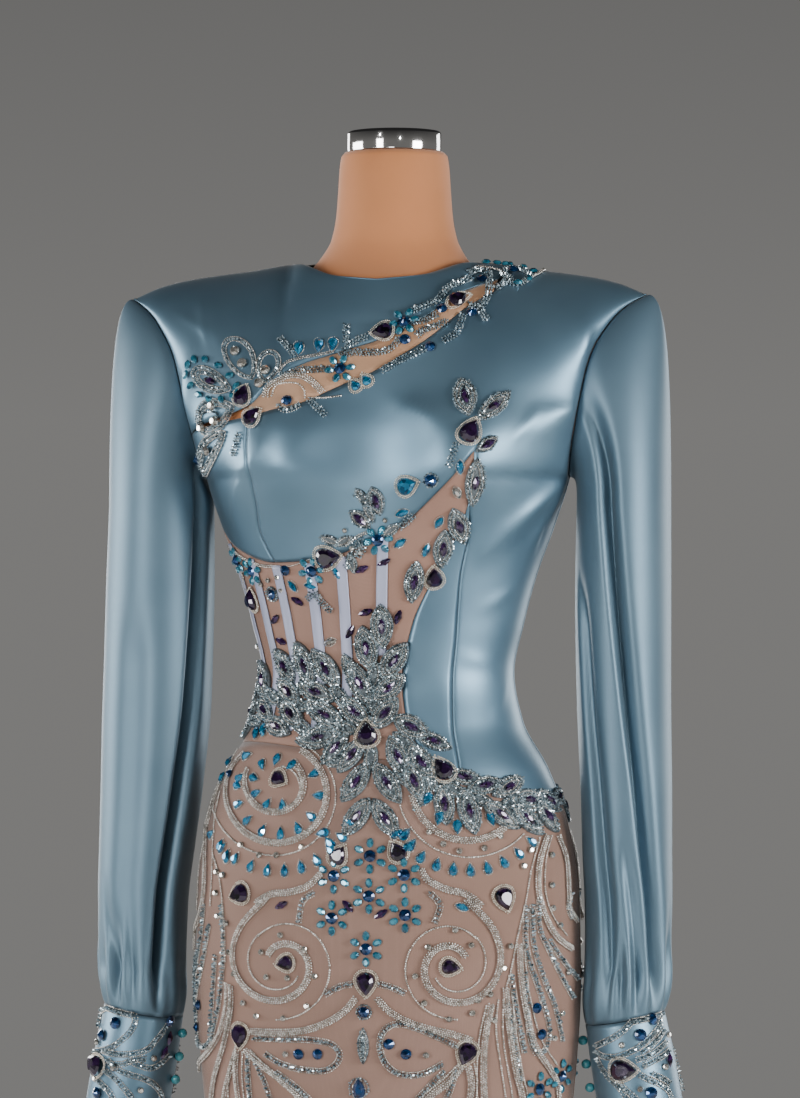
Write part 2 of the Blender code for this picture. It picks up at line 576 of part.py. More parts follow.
def sleeve_head(name, degrees, share):
    """From the armhole over the sleeve head and down to the first level section."""
    side = 1 if name == "L" else -1
    cosine = math.cos(math.radians(degrees))
    level = mix(UNDERARM_Z, SHOULDER_Z, (1 + cosine) / 2)
    back = degrees > 180
    seam = body((180 - 90 * side) if back and side > 0 else (270 if back else 90 * side), level, back)
    seam = Vector((side * (abs(seam.x) + ARMHOLE_GAP), seam.y, seam.z))
    lowest = sleeve_section(name, degrees, HEAD_Z)
    out = 0.008 + 0.013 * max(cosine, 0)
    first = seam + Vector((side * out, seam.y * 0.16, 0.004 * max(cosine, 0)))
    second = lowest + Vector((0, 0, (seam.z - HEAD_Z) * 0.62))
    t, s = share, 1 - share
    return seam * s**3 + first * 3 * s * s * t + second * 3 * s * t * t + lowest * t**3


def split_rows(name, rows, turns):
    """The rows of a sleeve panel; the right sleeve, which bends more, is also joined at the elbow."""
    if name == "L":
        return [("", rows)]
    place = len(HEAD_STEPS) + SLEEVE_LEVELS.index(ELBOW_Z)
    over, under = ([sleeve_section(name, turn, ELBOW_Z + shift) for turn in turns]
                   for shift in (SEAM_GAP / 3, -SEAM_GAP / 3))
    return [("_upper", rows[:place] + [over]), ("_lower", [under] + rows[place + 1:])]


def make_sleeves():
    step = 360 / SLEEVE_COLUMNS
    for name in ("R", "L"):
        # two seams, each midway between two gathers
        for half, start in (("front", 180 / GATHERS), ("back", 180 + 180 / GATHERS)):
            inside = [step * i for i in range(2 * SLEEVE_COLUMNS) if start < step * i < start + 180]
            turns = [turn % 360 for turn in [start + SLEEVE_EDGE] + inside + [start + 180 - SLEEVE_EDGE]]
            rows = [[sleeve_head(name, turn, share) for turn in turns] for share in HEAD_STEPS]
            rows += [[sleeve_section(name, turn, z) for turn in turns] for z in SLEEVE_LEVELS]
            rows += [[cuff_point(name, turn, -SEAM_GAP / 2, 0.0006 * math.cos(math.radians(turn * GATHERS)))
                      for turn in turns]]
            for part, part_rows in split_rows(name, rows, turns):
                cage = bmesh.new()
                add_grid(cage, part_rows, flip=name == "R")
                solidify(object_from(f"sleeve_{half}{part}_{name}", cage, SATIN))

        cage = bmesh.new()
        around = [360 * i / CUFF_COLUMNS for i in range(CUFF_COLUMNS)]
        rows = [[cuff_point(name, turn, along) for turn in around] for along in run(0, CUFF_LENGTH, 2)]
        add_grid(cage, rows, around=True, flip=name == "R")
        solidify(object_from("cuff_" + name, cage, SATIN))
        for i, along in enumerate(BUTTONS_AT):
            place = cuff_point(name, 172, along, BUTTON_RADIUS * 0.92)
            cage = bmesh.new()
            bmesh.ops.create_uvsphere(cage, u_segments=6, v_segments=4, radius=BUTTON_RADIUS)
            button = object_from(f"button_{name}{i + 1}", cage, TURQUOISE)
            button.location = place


def local(turn, level, shift):
    """The turn and level reached from a place by metres to the left and up over the cloth."""
    wide = (body(turn + 1, level) - body(turn - 1, level)).length / 2
    high = (body(turn, level + 0.004) - body(turn, level - 0.004)).length / 0.008
    return turn + shift.x / wide, level + shift.y / high


def make_trim():
    for name, (turn, level, lobes, long, short, widen, lean, rise, rays, low) in TRIM.items():
        lean = math.radians(lean)
        cage = bmesh.new()
        rings = []
        for share, lift in ((1.0, 0.0), (0.55, 0.0), (0.55, rise), (1.0, rise * 0.4)):
            ring = []
            for i in range(rays):
                angle = 2 * math.pi * i / rays
                radius = mix(short, long, abs(math.cos(lobes * angle / 2)) ** 1.3) * share
                flat = Vector((radius * math.cos(angle + lean) * widen, radius * math.sin(angle + lean)))
                ring.append(cage.verts.new(raised(*local(turn, level, flat), low + lift)))
            rings.append(ring)
        under = cage.verts.new(raised(turn, level, low))
        over = cage.verts.new(raised(turn, level, low + rise))
        edge_low, mid_low, mid_high, edge_high = rings
        for i in range(rays):
            j = (i + 1) % rays
            cage.faces.new((mid_low[i], under, mid_low[j]))
            cage.faces.new((mid_high[i], mid_high[j], over))
            for a, b in ((edge_low, mid_low), (mid_high, edge_high), (edge_high, edge_low)):
                cage.faces.new((a[i], a[j], b[j], b[i]))
        bmesh.ops.recalc_face_normals(cage, faces=cage.faces)
        object_from(name, cage, CRYSTAL, 30)


def make_bones():
    steps = 7
    for i, (foot_turn, top_turn, foot) in enumerate(BONES):
        cage = bmesh.new()
        rows = []
        top = smooth(UNDERBUST, top_turn) - 0.002
        for share in run(0, 1, steps):
            turn, level = mix(foot_turn, top_turn, share), mix(foot, top, share)
            edges = [local(turn, level, Vector((x * BONE_WIDTH / 2, 0))) for x in (-1, 1)]
            rows.append([raised(*edge, TRIM_LIFT + BONE_THICKNESS) for edge in edges])
        add_grid(cage, rows)
        solidify(object_from(f"bone_{i + 1}", cage, BONE_SATIN), BONE_THICKNESS)


def rope(name, places, closed_ring=False):
    curve = bpy.data.curves.new(name, "CURVE")
    curve.dimensions = "3D"
    line = curve.splines.new("POLY")
    line.points.add(len(places) - 1)
    for point, (turn, level) in zip(line.points, places):
        point.co = (*raised(turn, level, TRIM_LIFT + ROPE_RADIUS), 1)
    line.use_cyclic_u = closed_ring
    curve.bevel_depth = ROPE_RADIUS
    curve.bevel_resolution = 1
    curve.use_fill_caps = not closed_ring
    curve.materials.append(material_for(CRYSTAL))
    made = bpy.data.objects.new(name, curve)
    parts.objects.link(made)
    return made


def smooth_way(points, steps):
    """Places along a smooth curve through a few places."""
    ends = [points[0]] + points + [points[-1]]
    way = []
    for a, b, c, d in zip(ends, ends[1:], ends[2:], ends[3:]):
        for i in range(steps):
            t = i / steps
            way.append(tuple(0.5 * (2 * q + (r - p) * t + (2 * p - 5 * q + 4 * r - s) * t * t
                                    + (3 * q - p - 3 * r + s) * t**3) for p, q, r, s in zip(a, b, c, d)))
    return way + [points[-1]]


def make_ropes():
    for name, (turn, level, radius) in RINGS.items():
        circle = [2 * math.pi * i / 16 for i in range(16)]
        rope(name, [local(turn, level, Vector((radius * math.cos(a), radius * math.sin(a))))
                    for a in circle], True)
    for name, points in SWEEPS.items():
        rope(name, smooth_way(points, 2))


def start_empty():
    for old in list(bpy.data.objects):
        bpy.data.objects.remove(old, do_unlink=True)
    made = []
    for name in ("mermaid_gown", "helpers"):
        collection = bpy.data.collections.new(name)
        bpy.context.scene.collection.children.link(collection)
        made.append(collection)
    return made


parts, helpers = start_empty()
make_form()
make_bodice()
make_skirt()
make_sleeves()
make_bones()
make_trim()
make_ropes()
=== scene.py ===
# Mermaid gown with long sleeves on a dress form without limbs: the looks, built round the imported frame.
# Metres, +Z up. The gown faces -Y, and the wearer's left is at +X.
import json
import math

import bmesh
import bpy
import numpy as np
from mathutils import Matrix, Vector

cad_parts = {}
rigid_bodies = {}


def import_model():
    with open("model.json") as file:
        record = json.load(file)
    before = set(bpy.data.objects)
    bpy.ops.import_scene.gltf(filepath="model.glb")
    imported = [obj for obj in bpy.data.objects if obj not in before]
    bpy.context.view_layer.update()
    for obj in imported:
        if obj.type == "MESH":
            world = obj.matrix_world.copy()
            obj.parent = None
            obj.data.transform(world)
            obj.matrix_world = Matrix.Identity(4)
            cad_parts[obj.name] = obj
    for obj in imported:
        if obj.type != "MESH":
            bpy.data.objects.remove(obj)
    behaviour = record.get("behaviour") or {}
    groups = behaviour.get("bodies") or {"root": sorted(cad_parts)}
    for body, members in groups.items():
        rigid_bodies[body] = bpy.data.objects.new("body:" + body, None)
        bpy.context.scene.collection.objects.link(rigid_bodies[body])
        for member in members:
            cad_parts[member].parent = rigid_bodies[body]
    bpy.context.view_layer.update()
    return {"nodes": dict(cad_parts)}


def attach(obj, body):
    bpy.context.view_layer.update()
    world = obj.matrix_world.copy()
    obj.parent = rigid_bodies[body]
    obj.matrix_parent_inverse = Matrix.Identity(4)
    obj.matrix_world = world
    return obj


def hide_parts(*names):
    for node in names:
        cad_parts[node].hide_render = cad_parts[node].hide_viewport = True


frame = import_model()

print("frame loaded:", len(frame["nodes"]), "nodes")


# Shader and node maths

def operator(operation, swapped=False):
    return lambda self, other: self.maths(operation, other, swapped)


class Sock:
    # a node's output, so that maths on it reads as an expression
    def __init__(self, tree, out):
        self.tree, self.out = tree, out

    def maths(self, operation, other, swapped=False):
        pair = (other, self) if swapped else (self, other)
        return self.tree.node("ShaderNodeMath", {"operation": operation}, {0: pair[0], 1: pair[1]})

    __add__, __radd__ = operator("ADD"), operator("ADD", True)
    __sub__, __rsub__ = operator("SUBTRACT"), operator("SUBTRACT", True)
    __mul__, __rmul__ = operator("MULTIPLY"), operator("MULTIPLY", True)
    __truediv__, __rtruediv__ = operator("DIVIDE"), operator("DIVIDE", True)


class Tree:
    # a node tree whose nodes are all made by one method
    def __init__(self, nodes, links):
        self.nodes, self.links = nodes, links

    def node(self, kind, settings=None, inputs=None, out=0):
        made = self.nodes.new(kind)
        for name, value in (settings or {}).items():
            if name == "stops":
                ramp = made.color_ramp.elements
                while len(ramp) < len(value):
                    ramp.new(0.5)
                for stop, (at, colour) in zip(ramp, value):
                    stop.position, stop.color = at, colour
            else:
                setattr(made, name, value)
        for key, value in (inputs or {}).items():
            if isinstance(value, Sock):
                self.links.new(value.out, made.inputs[key])
            else:
                made.inputs[key].default_value = value
        return Sock(self, made.outputs[out]) if len(made.outputs) else None


def rgba(colour, share=1.0):
    # a colour for a socket, or a darker or paler one of it
    return (*(c * share for c in colour), 1.0)


def newMaterial(name, constants, build=None):
    # constants are set on the shader's own sockets, and build links what changes over the surface
    material = bpy.data.materials.new(name)
    material.use_nodes = True
    tree = Tree(material.node_tree.nodes, material.node_tree.links)
    shader = material.node_tree.nodes["Principled BSDF"]
    for socket, value in constants.items():
        shader.inputs[socket].default_value = rgba(value) if isinstance(value, tuple) else value
    for socket, value in (build(tree) if build else {}).items():
        tree.links.new(value.out, shader.inputs[socket])
    return material


def place(tree, scale=(1, 1, 1)):
    at = tree.node("ShaderNodeTexCoord", out="Object")
    return tree.node("ShaderNodeMapping", {}, {"Vector": at, "Scale": scale})


def noise(tree, vector, scale, detail=2.0):
    return tree.node("ShaderNodeTexNoise", {}, {"Vector": vector, "Scale": scale, "Detail": detail})


def blendColour(tree, share, a, b):
    return tree.node("ShaderNodeMix", {"data_type": "RGBA"}, {"Factor": share, 6: a, 7: b}, 2)


def spread(tree, value, low, high, newLow=0.0, newHigh=1.0):
    return tree.node("ShaderNodeMapRange", {}, {"Value": value, "From Min": low, "From Max": high,
                                                "To Min": newLow, "To Max": newHigh})


def bump(tree, height, distance, strength):
    return tree.node("ShaderNodeBump", {}, {"Height": height, "Distance": distance, "Strength": strength})


satin = {
    "colour": (0.145, 0.245, 0.320), "deep": (0.108, 0.192, 0.262), "roughness": 0.41, "metallic": 0.68,
    "sheen": 0.15, "threads": 900.0, "threadLength": 14.0, "threadRise": 0.00004,
}


def satinLook(name, settings):
    def build(tree):
        at = place(tree)
        cloud = noise(tree, at, 9.0, 3.0)
        weft = place(tree, (settings["threads"] / settings["threadLength"],) * 2 + (settings["threads"],))
        thread = noise(tree, weft, 1.0, 2.0)
        return {
            "Base Color": blendColour(tree, spread(tree, cloud, 0.3, 0.7), rgba(settings["deep"]),
                                      rgba(settings["colour"])),
            "Roughness": settings["roughness"] + 0.06 * (cloud - 0.5) + 0.05 * (thread - 0.5),
            "Normal": bump(tree, thread, settings["threadRise"], 0.5),
        }
    return newMaterial(name, {"Metallic": settings["metallic"], "Sheen Weight": settings["sheen"],
                              "Sheen Roughness": 0.35}, build)


nudeMesh = {"colour": (0.285, 0.155, 0.108), "pale": (0.31, 0.185, 0.142), "holes": 1500.0, "roughness": 0.62}
tanMesh = dict(nudeMesh, colour=(0.44, 0.235, 0.125), pale=(0.52, 0.33, 0.22))
skirtMesh = {"colour": (0.250, 0.150, 0.112), "pale": (0.275, 0.172, 0.138), "holes": 1300.0, "roughness": 0.7}


def meshLook(name, settings):
    # fine net over a lining: small cells, paler where light grazes it
    def build(tree):
        at = place(tree)
        cells = tree.node("ShaderNodeTexVoronoi", {"feature": "DISTANCE_TO_EDGE"},
                          {"Vector": at, "Scale": settings["holes"], "Randomness": 0.35}, "Distance")
        net = spread(tree, cells, 0.02, 0.14)
        cloud = noise(tree, at, 14.0, 3.0)
        haze = noise(tree, at, 5.0, 2.0)
        tone = blendColour(tree, spread(tree, haze, 0.35, 0.65), rgba(settings["colour"]), rgba(settings["pale"]))
        shade = blendColour(tree, spread(tree, cloud, 0.35, 0.7, 0.0, 0.35), tone,
                            rgba(settings["colour"], 0.82))
        return {
            "Base Color": blendColour(tree, net * 0.16, shade, rgba(settings["colour"], 0.55)),
            "Roughness": settings["roughness"] + 0.1 * (cloud - 0.5),
            "Normal": bump(tree, 1 - net, 0.00012, 0.4),
        }
    return newMaterial(name, {"Sheen Weight": 0.35, "Sheen Roughness": 0.4, "Specular IOR Level": 0.3}, build)


jersey = {"colour": (0.47, 0.180, 0.066), "warm": (0.52, 0.205, 0.082), "knit": 1400.0}


def jerseyLook(name, settings):
    def build(tree):
        at = place(tree)
        cloud = noise(tree, at, 11.0, 4.0)
        knit = noise(tree, place(tree, (settings["knit"], settings["knit"], settings["knit"] * 0.5)), 1.0, 2.0)
        return {
            "Base Color": blendColour(tree, spread(tree, cloud, 0.3, 0.7), rgba(settings["colour"]),
                                      rgba(settings["warm"])),
            "Roughness": 0.82 + 0.1 * (knit - 0.5),
            "Normal": bump(tree, knit, 0.0002, 0.35),
        }
    return newMaterial(name, {"Sheen Weight": 0.3, "Sheen Roughness": 0.5, "Specular IOR Level": 0.25}, build)


def polishedLook(name, colour, roughness, brushing=0.0):
    def build(tree):
        brushed = noise(tree, place(tree, (60.0, 60.0, 4000.0)), 1.0, 2.0)
        smudge = noise(tree, place(tree), 40.0, 3.0)
        return {"Roughness": roughness + 0.06 * (smudge - 0.4) + brushing * (brushed - 0.5)}
    return newMaterial(name, {"Base Color": colour, "Metallic": 1.0}, build)


def paintLook(name, colour):
    def build(tree):
        grain = noise(tree, place(tree), 900.0, 2.0)
        wear = noise(tree, place(tree), 25.0, 4.0)
        return {
            "Base Color": blendColour(tree, spread(tree, wear, 0.55, 0.8), rgba(colour), rgba(colour, 1.35)),
            "Roughness": 0.42 + 0.14 * (wear - 0.5),
            "Normal": bump(tree, grain, 0.00005, 0.3),
        }
    return newMaterial(name, {"Metallic": 0.0}, build)


looks = {
    "satin": satinLook("duchessSatin", satin),
    # the sleeves' satin is the gown's cloth, rougher for a broader sheen; its colours are darker than the gown's,
    # painted shade that dims the sleeves
    "sleeve": satinLook("sleeveSatinPaintedShade", dict(satin, colour=(0.118, 0.192, 0.248), deep=(0.092, 0.156, 0.208),
                                             roughness=0.50, metallic=0.62)),
    "bone": satinLook("boneSatin", dict(satin, colour=(0.36, 0.38, 0.50), deep=(0.31, 0.33, 0.45), metallic=0.15,
                                        roughness=0.45)),
    "midriff": meshLook("nudeMesh", nudeMesh),
    "slash": meshLook("tanMesh", tanMesh),
    "skirt": meshLook("skirtMesh", skirtMesh),
    "jersey": jerseyLook("formJersey", jersey),
    "cap": polishedLook("polishedCap", (0.66, 0.65, 0.64), 0.07),
    "pole": polishedLook("brushedPole", (0.62, 0.62, 0.62), 0.24, 0.1),
    "paint": paintLook("stand_paint", (0.06, 0.06, 0.065)),
}
print("cloth and stand materials made")


# The gown's form, from the same sizes as the frame

gownSize = {
    "cloth": 0.0012, "hem": 0.008, "knee": 0.470, "underarm": 1.225, "shoulder": 1.405,
    "neckHalf": 0.085, "armholeHalf": 0.045, "armholeGap": 0.0001,
    # where the cloth starts to roll over the shoulder, and how round the roll and the neckline are
    "rollFrom": 0.45, "rollPower": 2.2, "neckPower": 0.6,
    # height, half width, front depth, back depth
    "sections": [
        (0.470, 0.140, 0.100, 0.112), (0.560, 0.158, 0.107, 0.124), (0.660, 0.174, 0.111, 0.132),
        (0.760, 0.180, 0.113, 0.137), (0.850, 0.178, 0.113, 0.136), (0.905, 0.168, 0.109, 0.127),
        (0.955, 0.150, 0.102, 0.111), (1.000, 0.126, 0.093, 0.092), (1.044, 0.118, 0.086, 0.082),
        (1.089, 0.127, 0.089, 0.086), (1.134, 0.139, 0.096, 0.094), (1.178, 0.155, 0.104, 0.102),
        (1.225, 0.170, 0.110, 0.106), (1.262, 0.177, 0.110, 0.104), (1.300, 0.185, 0.104, 0.100),
        (1.335, 0.194, 0.095, 0.093), (1.370, 0.213, 0.083, 0.084), (1.405, 0.241, 0.066, 0.072),
    ],
    "flounce": [
        (0.008, 0.385, 0.355, 0.395), (0.100, 0.335, 0.305, 0.340), (0.200, 0.272, 0.238, 0.268),
        (0.300, 0.212, 0.172, 0.197), (0.400, 0.160, 0.119, 0.135), (0.470, 0.140, 0.100, 0.112),
    ],
    "bustX": 0.088, "bustZ": 1.235, "bustRise": 0.026, "bustReach": 0.052, "bustBelow": 0.045, "bustAbove": 0.062,
    # height of the neckline and shoulder seams over their half width
    "frontLine": [(0, 1.406), (0.040, 1.410), (0.085, 1.424), (0.130, 1.418), (0.160, 1.4145),
                  (0.190, 1.410), (0.215, 1.404), (0.241, 1.393)],
    "backMiddle": [(0, 1.436), (0.040, 1.434)],
    # folds that stand out of the cloth: turn and height at each end, half width, rise
    "folds": [
        (55, 1.372, 80, 1.330, 0.013, 0.0045), (84, 1.288, 50, 1.268, 0.016, 0.0050),
        (84, 1.240, 72, 1.175, 0.012, 0.0045), (80, 1.225, 45, 1.160, 0.013, 0.0035),
        (-47, 1.385, -51, 1.338, 0.011, 0.0035), (-36, 1.250, -56, 1.190, 0.013, 0.0030),
        (9, 1.292, 22, 1.273, 0.014, 0.0025), (-84, 1.278, -62, 1.330, 0.013, 0.0035),
        (118, 1.230, 145, 1.180, 0.014, 0.0035), (242, 1.230, 215, 1.180, 0.014, 0.0035),
    ],
    # finer creases, the same way: a rise below nought is a furrow
    "creases": [
        (48.5, 1.3705, 80, 1.325, 0.004, -0.0010), (84, 1.285, 54.9, 1.2816, 0.005, 0.0012),
        (54.9, 1.2816, 47.1, 1.2566, 0.005, 0.0012), (72, 1.199, 76.9, 1.162, 0.006, -0.0012),
        (82.2, 1.231, 50.5, 1.176, 0.006, 0.0014), (50.5, 1.176, 41.3, 1.149, 0.005, 0.0009),
        (-47.1, 1.382, -50.4, 1.342, 0.0035, -0.0012), (-33.6, 1.378, -36.6, 1.352, 0.004, -0.0011),
        (-33.4, 1.252, -57.7, 1.185, 0.006, 0.0012), (7.4, 1.293, 21.8, 1.274, 0.006, 0.0012),
        (-62, 1.372, -49, 1.352, 0.006, 0.0012), (66, 1.120, 48, 1.105, 0.007, 0.0009),
        (40, 1.060, 62, 1.052, 0.007, 0.0008), (74, 1.030, 58, 1.010, 0.006, 0.0008),
        (116, 1.090, 140, 1.076, 0.007, 0.0009), (236, 1.060, 214, 1.050, 0.007, 0.0009),
        (150, 1.330, 168, 1.300, 0.007, -0.0010), (204, 1.345, 192, 1.318, 0.006, -0.0010),
    ],
    # folds reach as many half widths as this, and rise from this share of their height at their ends
    "metresPerDegree": 0.0026, "foldReach": 3, "foldEnds": 0.12,
    # waves of the flounce round the hem, how far they wander in degrees, and how they deepen downwards
    "waves": 12, "waveWander": 24, "waveRise": 0.026, "wavePower": 1.6,
}


def throughTable(rows, column=1):
    # a smooth curve through a table's column that never overshoots it
    keys = np.array([row[0] for row in rows], float)
    values = np.array([row[column] for row in rows], float)
    rate = np.diff(values) / np.diff(keys)
    slope = np.empty_like(values)
    slope[0], slope[-1] = rate[0], rate[-1]
    before, after = rate[:-1], rate[1:]
    same = before * after > 0
    total = np.where(same, before + after, 1.0)
    slope[1:-1] = np.where(same, 2 * before * after / total, 0.0)

    def at(place):
        place = np.clip(np.asarray(place, float), keys[0], keys[-1])
        i = np.clip(np.searchsorted(keys, place, "right") - 1, 0, len(keys) - 2)
        step = keys[i + 1] - keys[i]
        t = (place - keys[i]) / step
        return ((2 * t**3 - 3 * t**2 + 1) * values[i] + (t**3 - 2 * t**2 + t) * step * slope[i]
                + (-2 * t**3 + 3 * t**2) * values[i + 1] + (t**3 - t**2) * step * slope[i + 1])
    return at


halfWidth, frontDepth, backDepth = (throughTable(gownSize["sections"], c) for c in (1, 2, 3))
flounceHalf, flounceFront, flounceBack = (throughTable(gownSize["flounce"], c) for c in (1, 2, 3))
frontLine = throughTable(gownSize["frontLine"])
backLine = throughTable(gownSize["backMiddle"] + gownSize["frontLine"][2:])


def mix(a, b, share):
    return a + (b - a) * share


def foldRise(turn, level, folds):
    # how far the folds lift the cloth at each place
    rise = np.zeros(np.broadcast(turn, level).shape)
    scale, ends = gownSize["metresPerDegree"], gownSize["foldEnds"]
    left, right, lowest, highest = turn.min(), turn.max(), level.min(), level.max()
    for turnA, levelA, turnB, levelB, width, height in folds:
        room = gownSize["foldReach"] * width
        if (highest < min(levelA, levelB) - room or lowest > max(levelA, levelB) + room
                or right < min(turnA, turnB) - room / scale or left > max(turnA, turnB) + room / scale):
            continue
        reach = np.array([(turnB - turnA) * scale, levelB - levelA])
        across, up = (turn - turnA) * scale, level - levelA
        along = np.clip((across * reach[0] + up * reach[1]) / (reach @ reach), 0, 1)
        away = np.hypot(across - reach[0] * along, up - reach[1] * along) / width
        bulge = height * np.exp(-away**2) * np.sin(math.pi * (ends + (1 - 2 * ends) * along))
        rise += np.where(away < gownSize["foldReach"], bulge, 0)
    return rise


def gown(turn, level, back=False, folded=True):
    # points of the gown's outer side: turn is degrees from the centre front to +X, level the height
    turn, level = np.broadcast_arrays(np.asarray(turn, float), np.asarray(level, float))
    size = gownSize
    angle = np.radians(turn)
    x = halfWidth(level) * np.sin(angle)
    depth = (backDepth if back else frontDepth)(level)
    share = np.abs(np.cos(angle))
    up = np.clip((level - size["underarm"]) / (size["shoulder"] - size["underarm"]), 0, 1)
    edge = size["armholeHalf"] * 2 * np.sqrt(up * (1 - up))
    high = level > size["underarm"]
    y = np.where(high, edge + (depth - edge) * share, depth * share)
    z = level + np.where(high, ((backLine if back else frontLine)(np.abs(x)) - size["shoulder"]) * up * up, 0)
    over = np.clip((up - size["rollFrom"]) / (1 - size["rollFrom"]), 0, 1)
    roll = np.sqrt(np.clip(1 - over**size["rollPower"], 0, 1))
    neck = np.clip(1 - (x / size["neckHalf"])**2, 0, 1)**size["neckPower"]
    y = y * np.where(high, neck + (1 - neck) * roll, 1)
    if not back:
        reach = np.where(z < size["bustZ"], size["bustBelow"], size["bustAbove"])
        for side in (-1, 1):
            y = y + size["bustRise"] * np.exp(-((x - side * size["bustX"]) / size["bustReach"])**2
                                              - ((z - size["bustZ"]) / reach)**2)
    rise = 0.0
    if folded:
        room = np.minimum(1.0, share * 4)
        rise = (foldRise(turn, level, size["folds"]) + foldRise(turn, level, size["creases"])) * room
    return np.stack([x + rise * np.sin(angle), (y + rise * share) * (1 if back else -1), z], -1)


def outward(turn, level, back=False, folded=True):
    # unit vectors out of the cloth
    low, high = (90, 270) if back else (-90, 90)
    turn, level = np.broadcast_arrays(np.asarray(turn, float), np.asarray(level, float))
    left, right = np.maximum(turn - 0.5, low), np.minimum(turn + 0.5, high)
    under, over = level - 0.001, np.minimum(level + 0.001, gownSize["shoulder"])
    along = gown(right, level, back, folded) - gown(left, level, back, folded)
    up = gown(turn, over, back, folded) - gown(turn, under, back, folded)
    normal = np.cross(along, up)
    return normal / np.linalg.norm(normal, axis=-1, keepdims=True)


def flouncePoint(turn, level):
    back = (turn > 90) & (turn < 270)
    angle = np.radians(turn)
    down = (gownSize["knee"] - level) / (gownSize["knee"] - gownSize["hem"])
    wave = np.cos(np.radians(gownSize["waves"] * turn + gownSize["waveWander"] * np.sin(angle * 3)))
    deep = gownSize["waveRise"] * np.maximum(down, 0)**gownSize["wavePower"]
    rise = deep * wave * (1 + 0.25 * np.sin(angle * 2 + 0.6))
    half = flounceHalf(level) + rise
    depth = np.where(back, flounceBack(level), flounceFront(level)) + rise
    share = np.abs(np.cos(angle))
    return np.stack([half * np.sin(angle), depth * share * np.where(back, 1, -1), level + 0 * angle], -1)


# Seams of the gown: turn and height, or height and turn, as in the frame

seams = {
    "hip": throughTable([(-180, 0.955), (-90, 0.978), (-55, 0.981), (-25, 0.977), (0, 0.969), (21.5, 0.963),
                         (31.8, 0.951), (56, 0.934), (90, 0.925), (180, 0.955)]),
    "underbust": throughTable([(-90, 1.192), (-78, 1.172), (-64, 1.158), (-40.4, 1.146), (-19.3, 1.149),
                               (-3.6, 1.161), (12, 1.183), (23.5, 1.212), (29.8, 1.231), (34.3, 1.247)]),
    "yoke": throughTable([(-90, 1.262), (-60, 1.274), (-38, 1.2875), (-29.8, 1.305), (-22.6, 1.318),
                          (-16.3, 1.3275), (-7.2, 1.338), (4.7, 1.352), (11.9, 1.364), (17.8, 1.375),
                          (28, 1.3925)]),
    "chest": throughTable([(-90, 1.262), (-60, 1.271), (-38, 1.2785), (-29.2, 1.2835), (-19.8, 1.290),
                           (-12.7, 1.300), (-7, 1.3085), (1, 1.320), (7.8, 1.333), (17.3, 1.352), (28.5, 1.3820)]),
    "princessR": throughTable([(1.146, -40.4), (1.157, -42.4), (1.174, -44), (1.200, -41.2), (1.233, -39.4),
                               (1.252, -39.8), (1.2785, -38)]),
    "princessL": throughTable([(0.951, 31.8), (0.985, 34.2), (1.059, 37.3), (1.104, 35.8), (1.1395, 34.9),
                               (1.163, 35.2), (1.200, 34.4)]),
    "cutout": throughTable([(0.963, 21.5), (1.003, 14.5), (1.039, 12.9), (1.0895, 16.4), (1.126, 22.7),
                            (1.162, 29.4), (1.198, 33.6), (1.221, 34.8), (1.247, 34.3)]),
}
apex, slashEnd, yokeEnd, shoulderEnd = (34.3, 1.247), (28.5, 1.3820), (28.0, 1.3925), (29.5, 1.405)


def run(start, end, steps):
    return np.linspace(start, end, steps + 1)


def across(seam, start, end, steps):
    turns = run(start, end, steps)
    return np.stack([turns, seams[seam](turns)], -1)


def upward(seam, start, end, steps):
    levels = run(start, end, steps)
    return np.stack([seams[seam](levels), levels], -1)


def straight(start, end, steps):
    return np.stack([run(start[0], end[0], steps), run(start[1], end[1], steps)], -1)


def upright(turn, levels):
    return np.stack([np.full_like(levels, turn), levels], -1)


def joined(*edges):
    return np.concatenate([edges[0]] + [edge[1:] for edge in edges[1:]])


def shares(edgeA, edgeB):
    # how far along each point of two facing edges lies, from 0 to 1
    def one(edge):
        step = np.hypot(np.diff(edge[:, 0]) * gownSize["metresPerDegree"], np.diff(edge[:, 1]))
        total = np.concatenate([[0], np.cumsum(step)])
        return total / total[-1] if total[-1] else np.linspace(0, 1, len(total))
    return (one(edgeA) + one(edgeB)) / 2


def between(bottom, top, left, right):
    # places of a four-sided piece between its edges
    u, v = shares(bottom, top)[None, :, None], shares(left, right)[:, None, None]
    sides = (1 - v) * bottom[None] + v * top[None] + (1 - u) * left[:, None] + u * right[:, None]
    return (sides - (1 - u) * (1 - v) * bottom[0] - u * (1 - v) * bottom[-1]
            - (1 - u) * v * top[0] - u * v * top[-1])


def toShoulder(start, steps):
    # levels that come closer together where the cloth rolls over the shoulder
    share = run(0, 1, steps)
    return mix(start, gownSize["shoulder"], 1 - (1 - share)**1.9)


def joinRows(cage, rows, around=True, flip=False):
    # four-sided faces between rows of corners
    count = len(rows[0])
    for low, high in zip(rows, rows[1:]):
        for i in range(count if around else count - 1):
            j = (i + 1) % count
            corners = (low[i], low[j], high[j], high[i])
            cage.faces.new(corners[::-1] if flip else corners)


def finished(cage, name, sharp=None, smooth=True):
    # the cage as a mesh, with sharp edges where faces meet at more than so many degrees
    mesh = bpy.data.meshes.new(name)
    cage.to_mesh(mesh)
    cage.free()
    if smooth:
        mesh.shade_smooth()
    if sharp:
        mesh.set_sharp_from_angle(angle=math.radians(sharp))
    return mesh


def meshFrom(name, grids, around=False, flip=False):
    # one mesh from grids of points, joined where they meet
    cage = bmesh.new()
    for grid in grids:
        joinRows(cage, [[cage.verts.new(point) for point in row] for row in grid], around, flip)
    bmesh.ops.remove_doubles(cage, verts=cage.verts, dist=2e-5)
    return finished(cage, name)


def closeRings(cage, rings):
    # a closed solid from rings of points
    rows = [[cage.verts.new(point) for point in ring] for ring in rings]
    joinRows(cage, rows)
    cage.faces.new(rows[0][::-1])
    cage.faces.new(rows[-1])


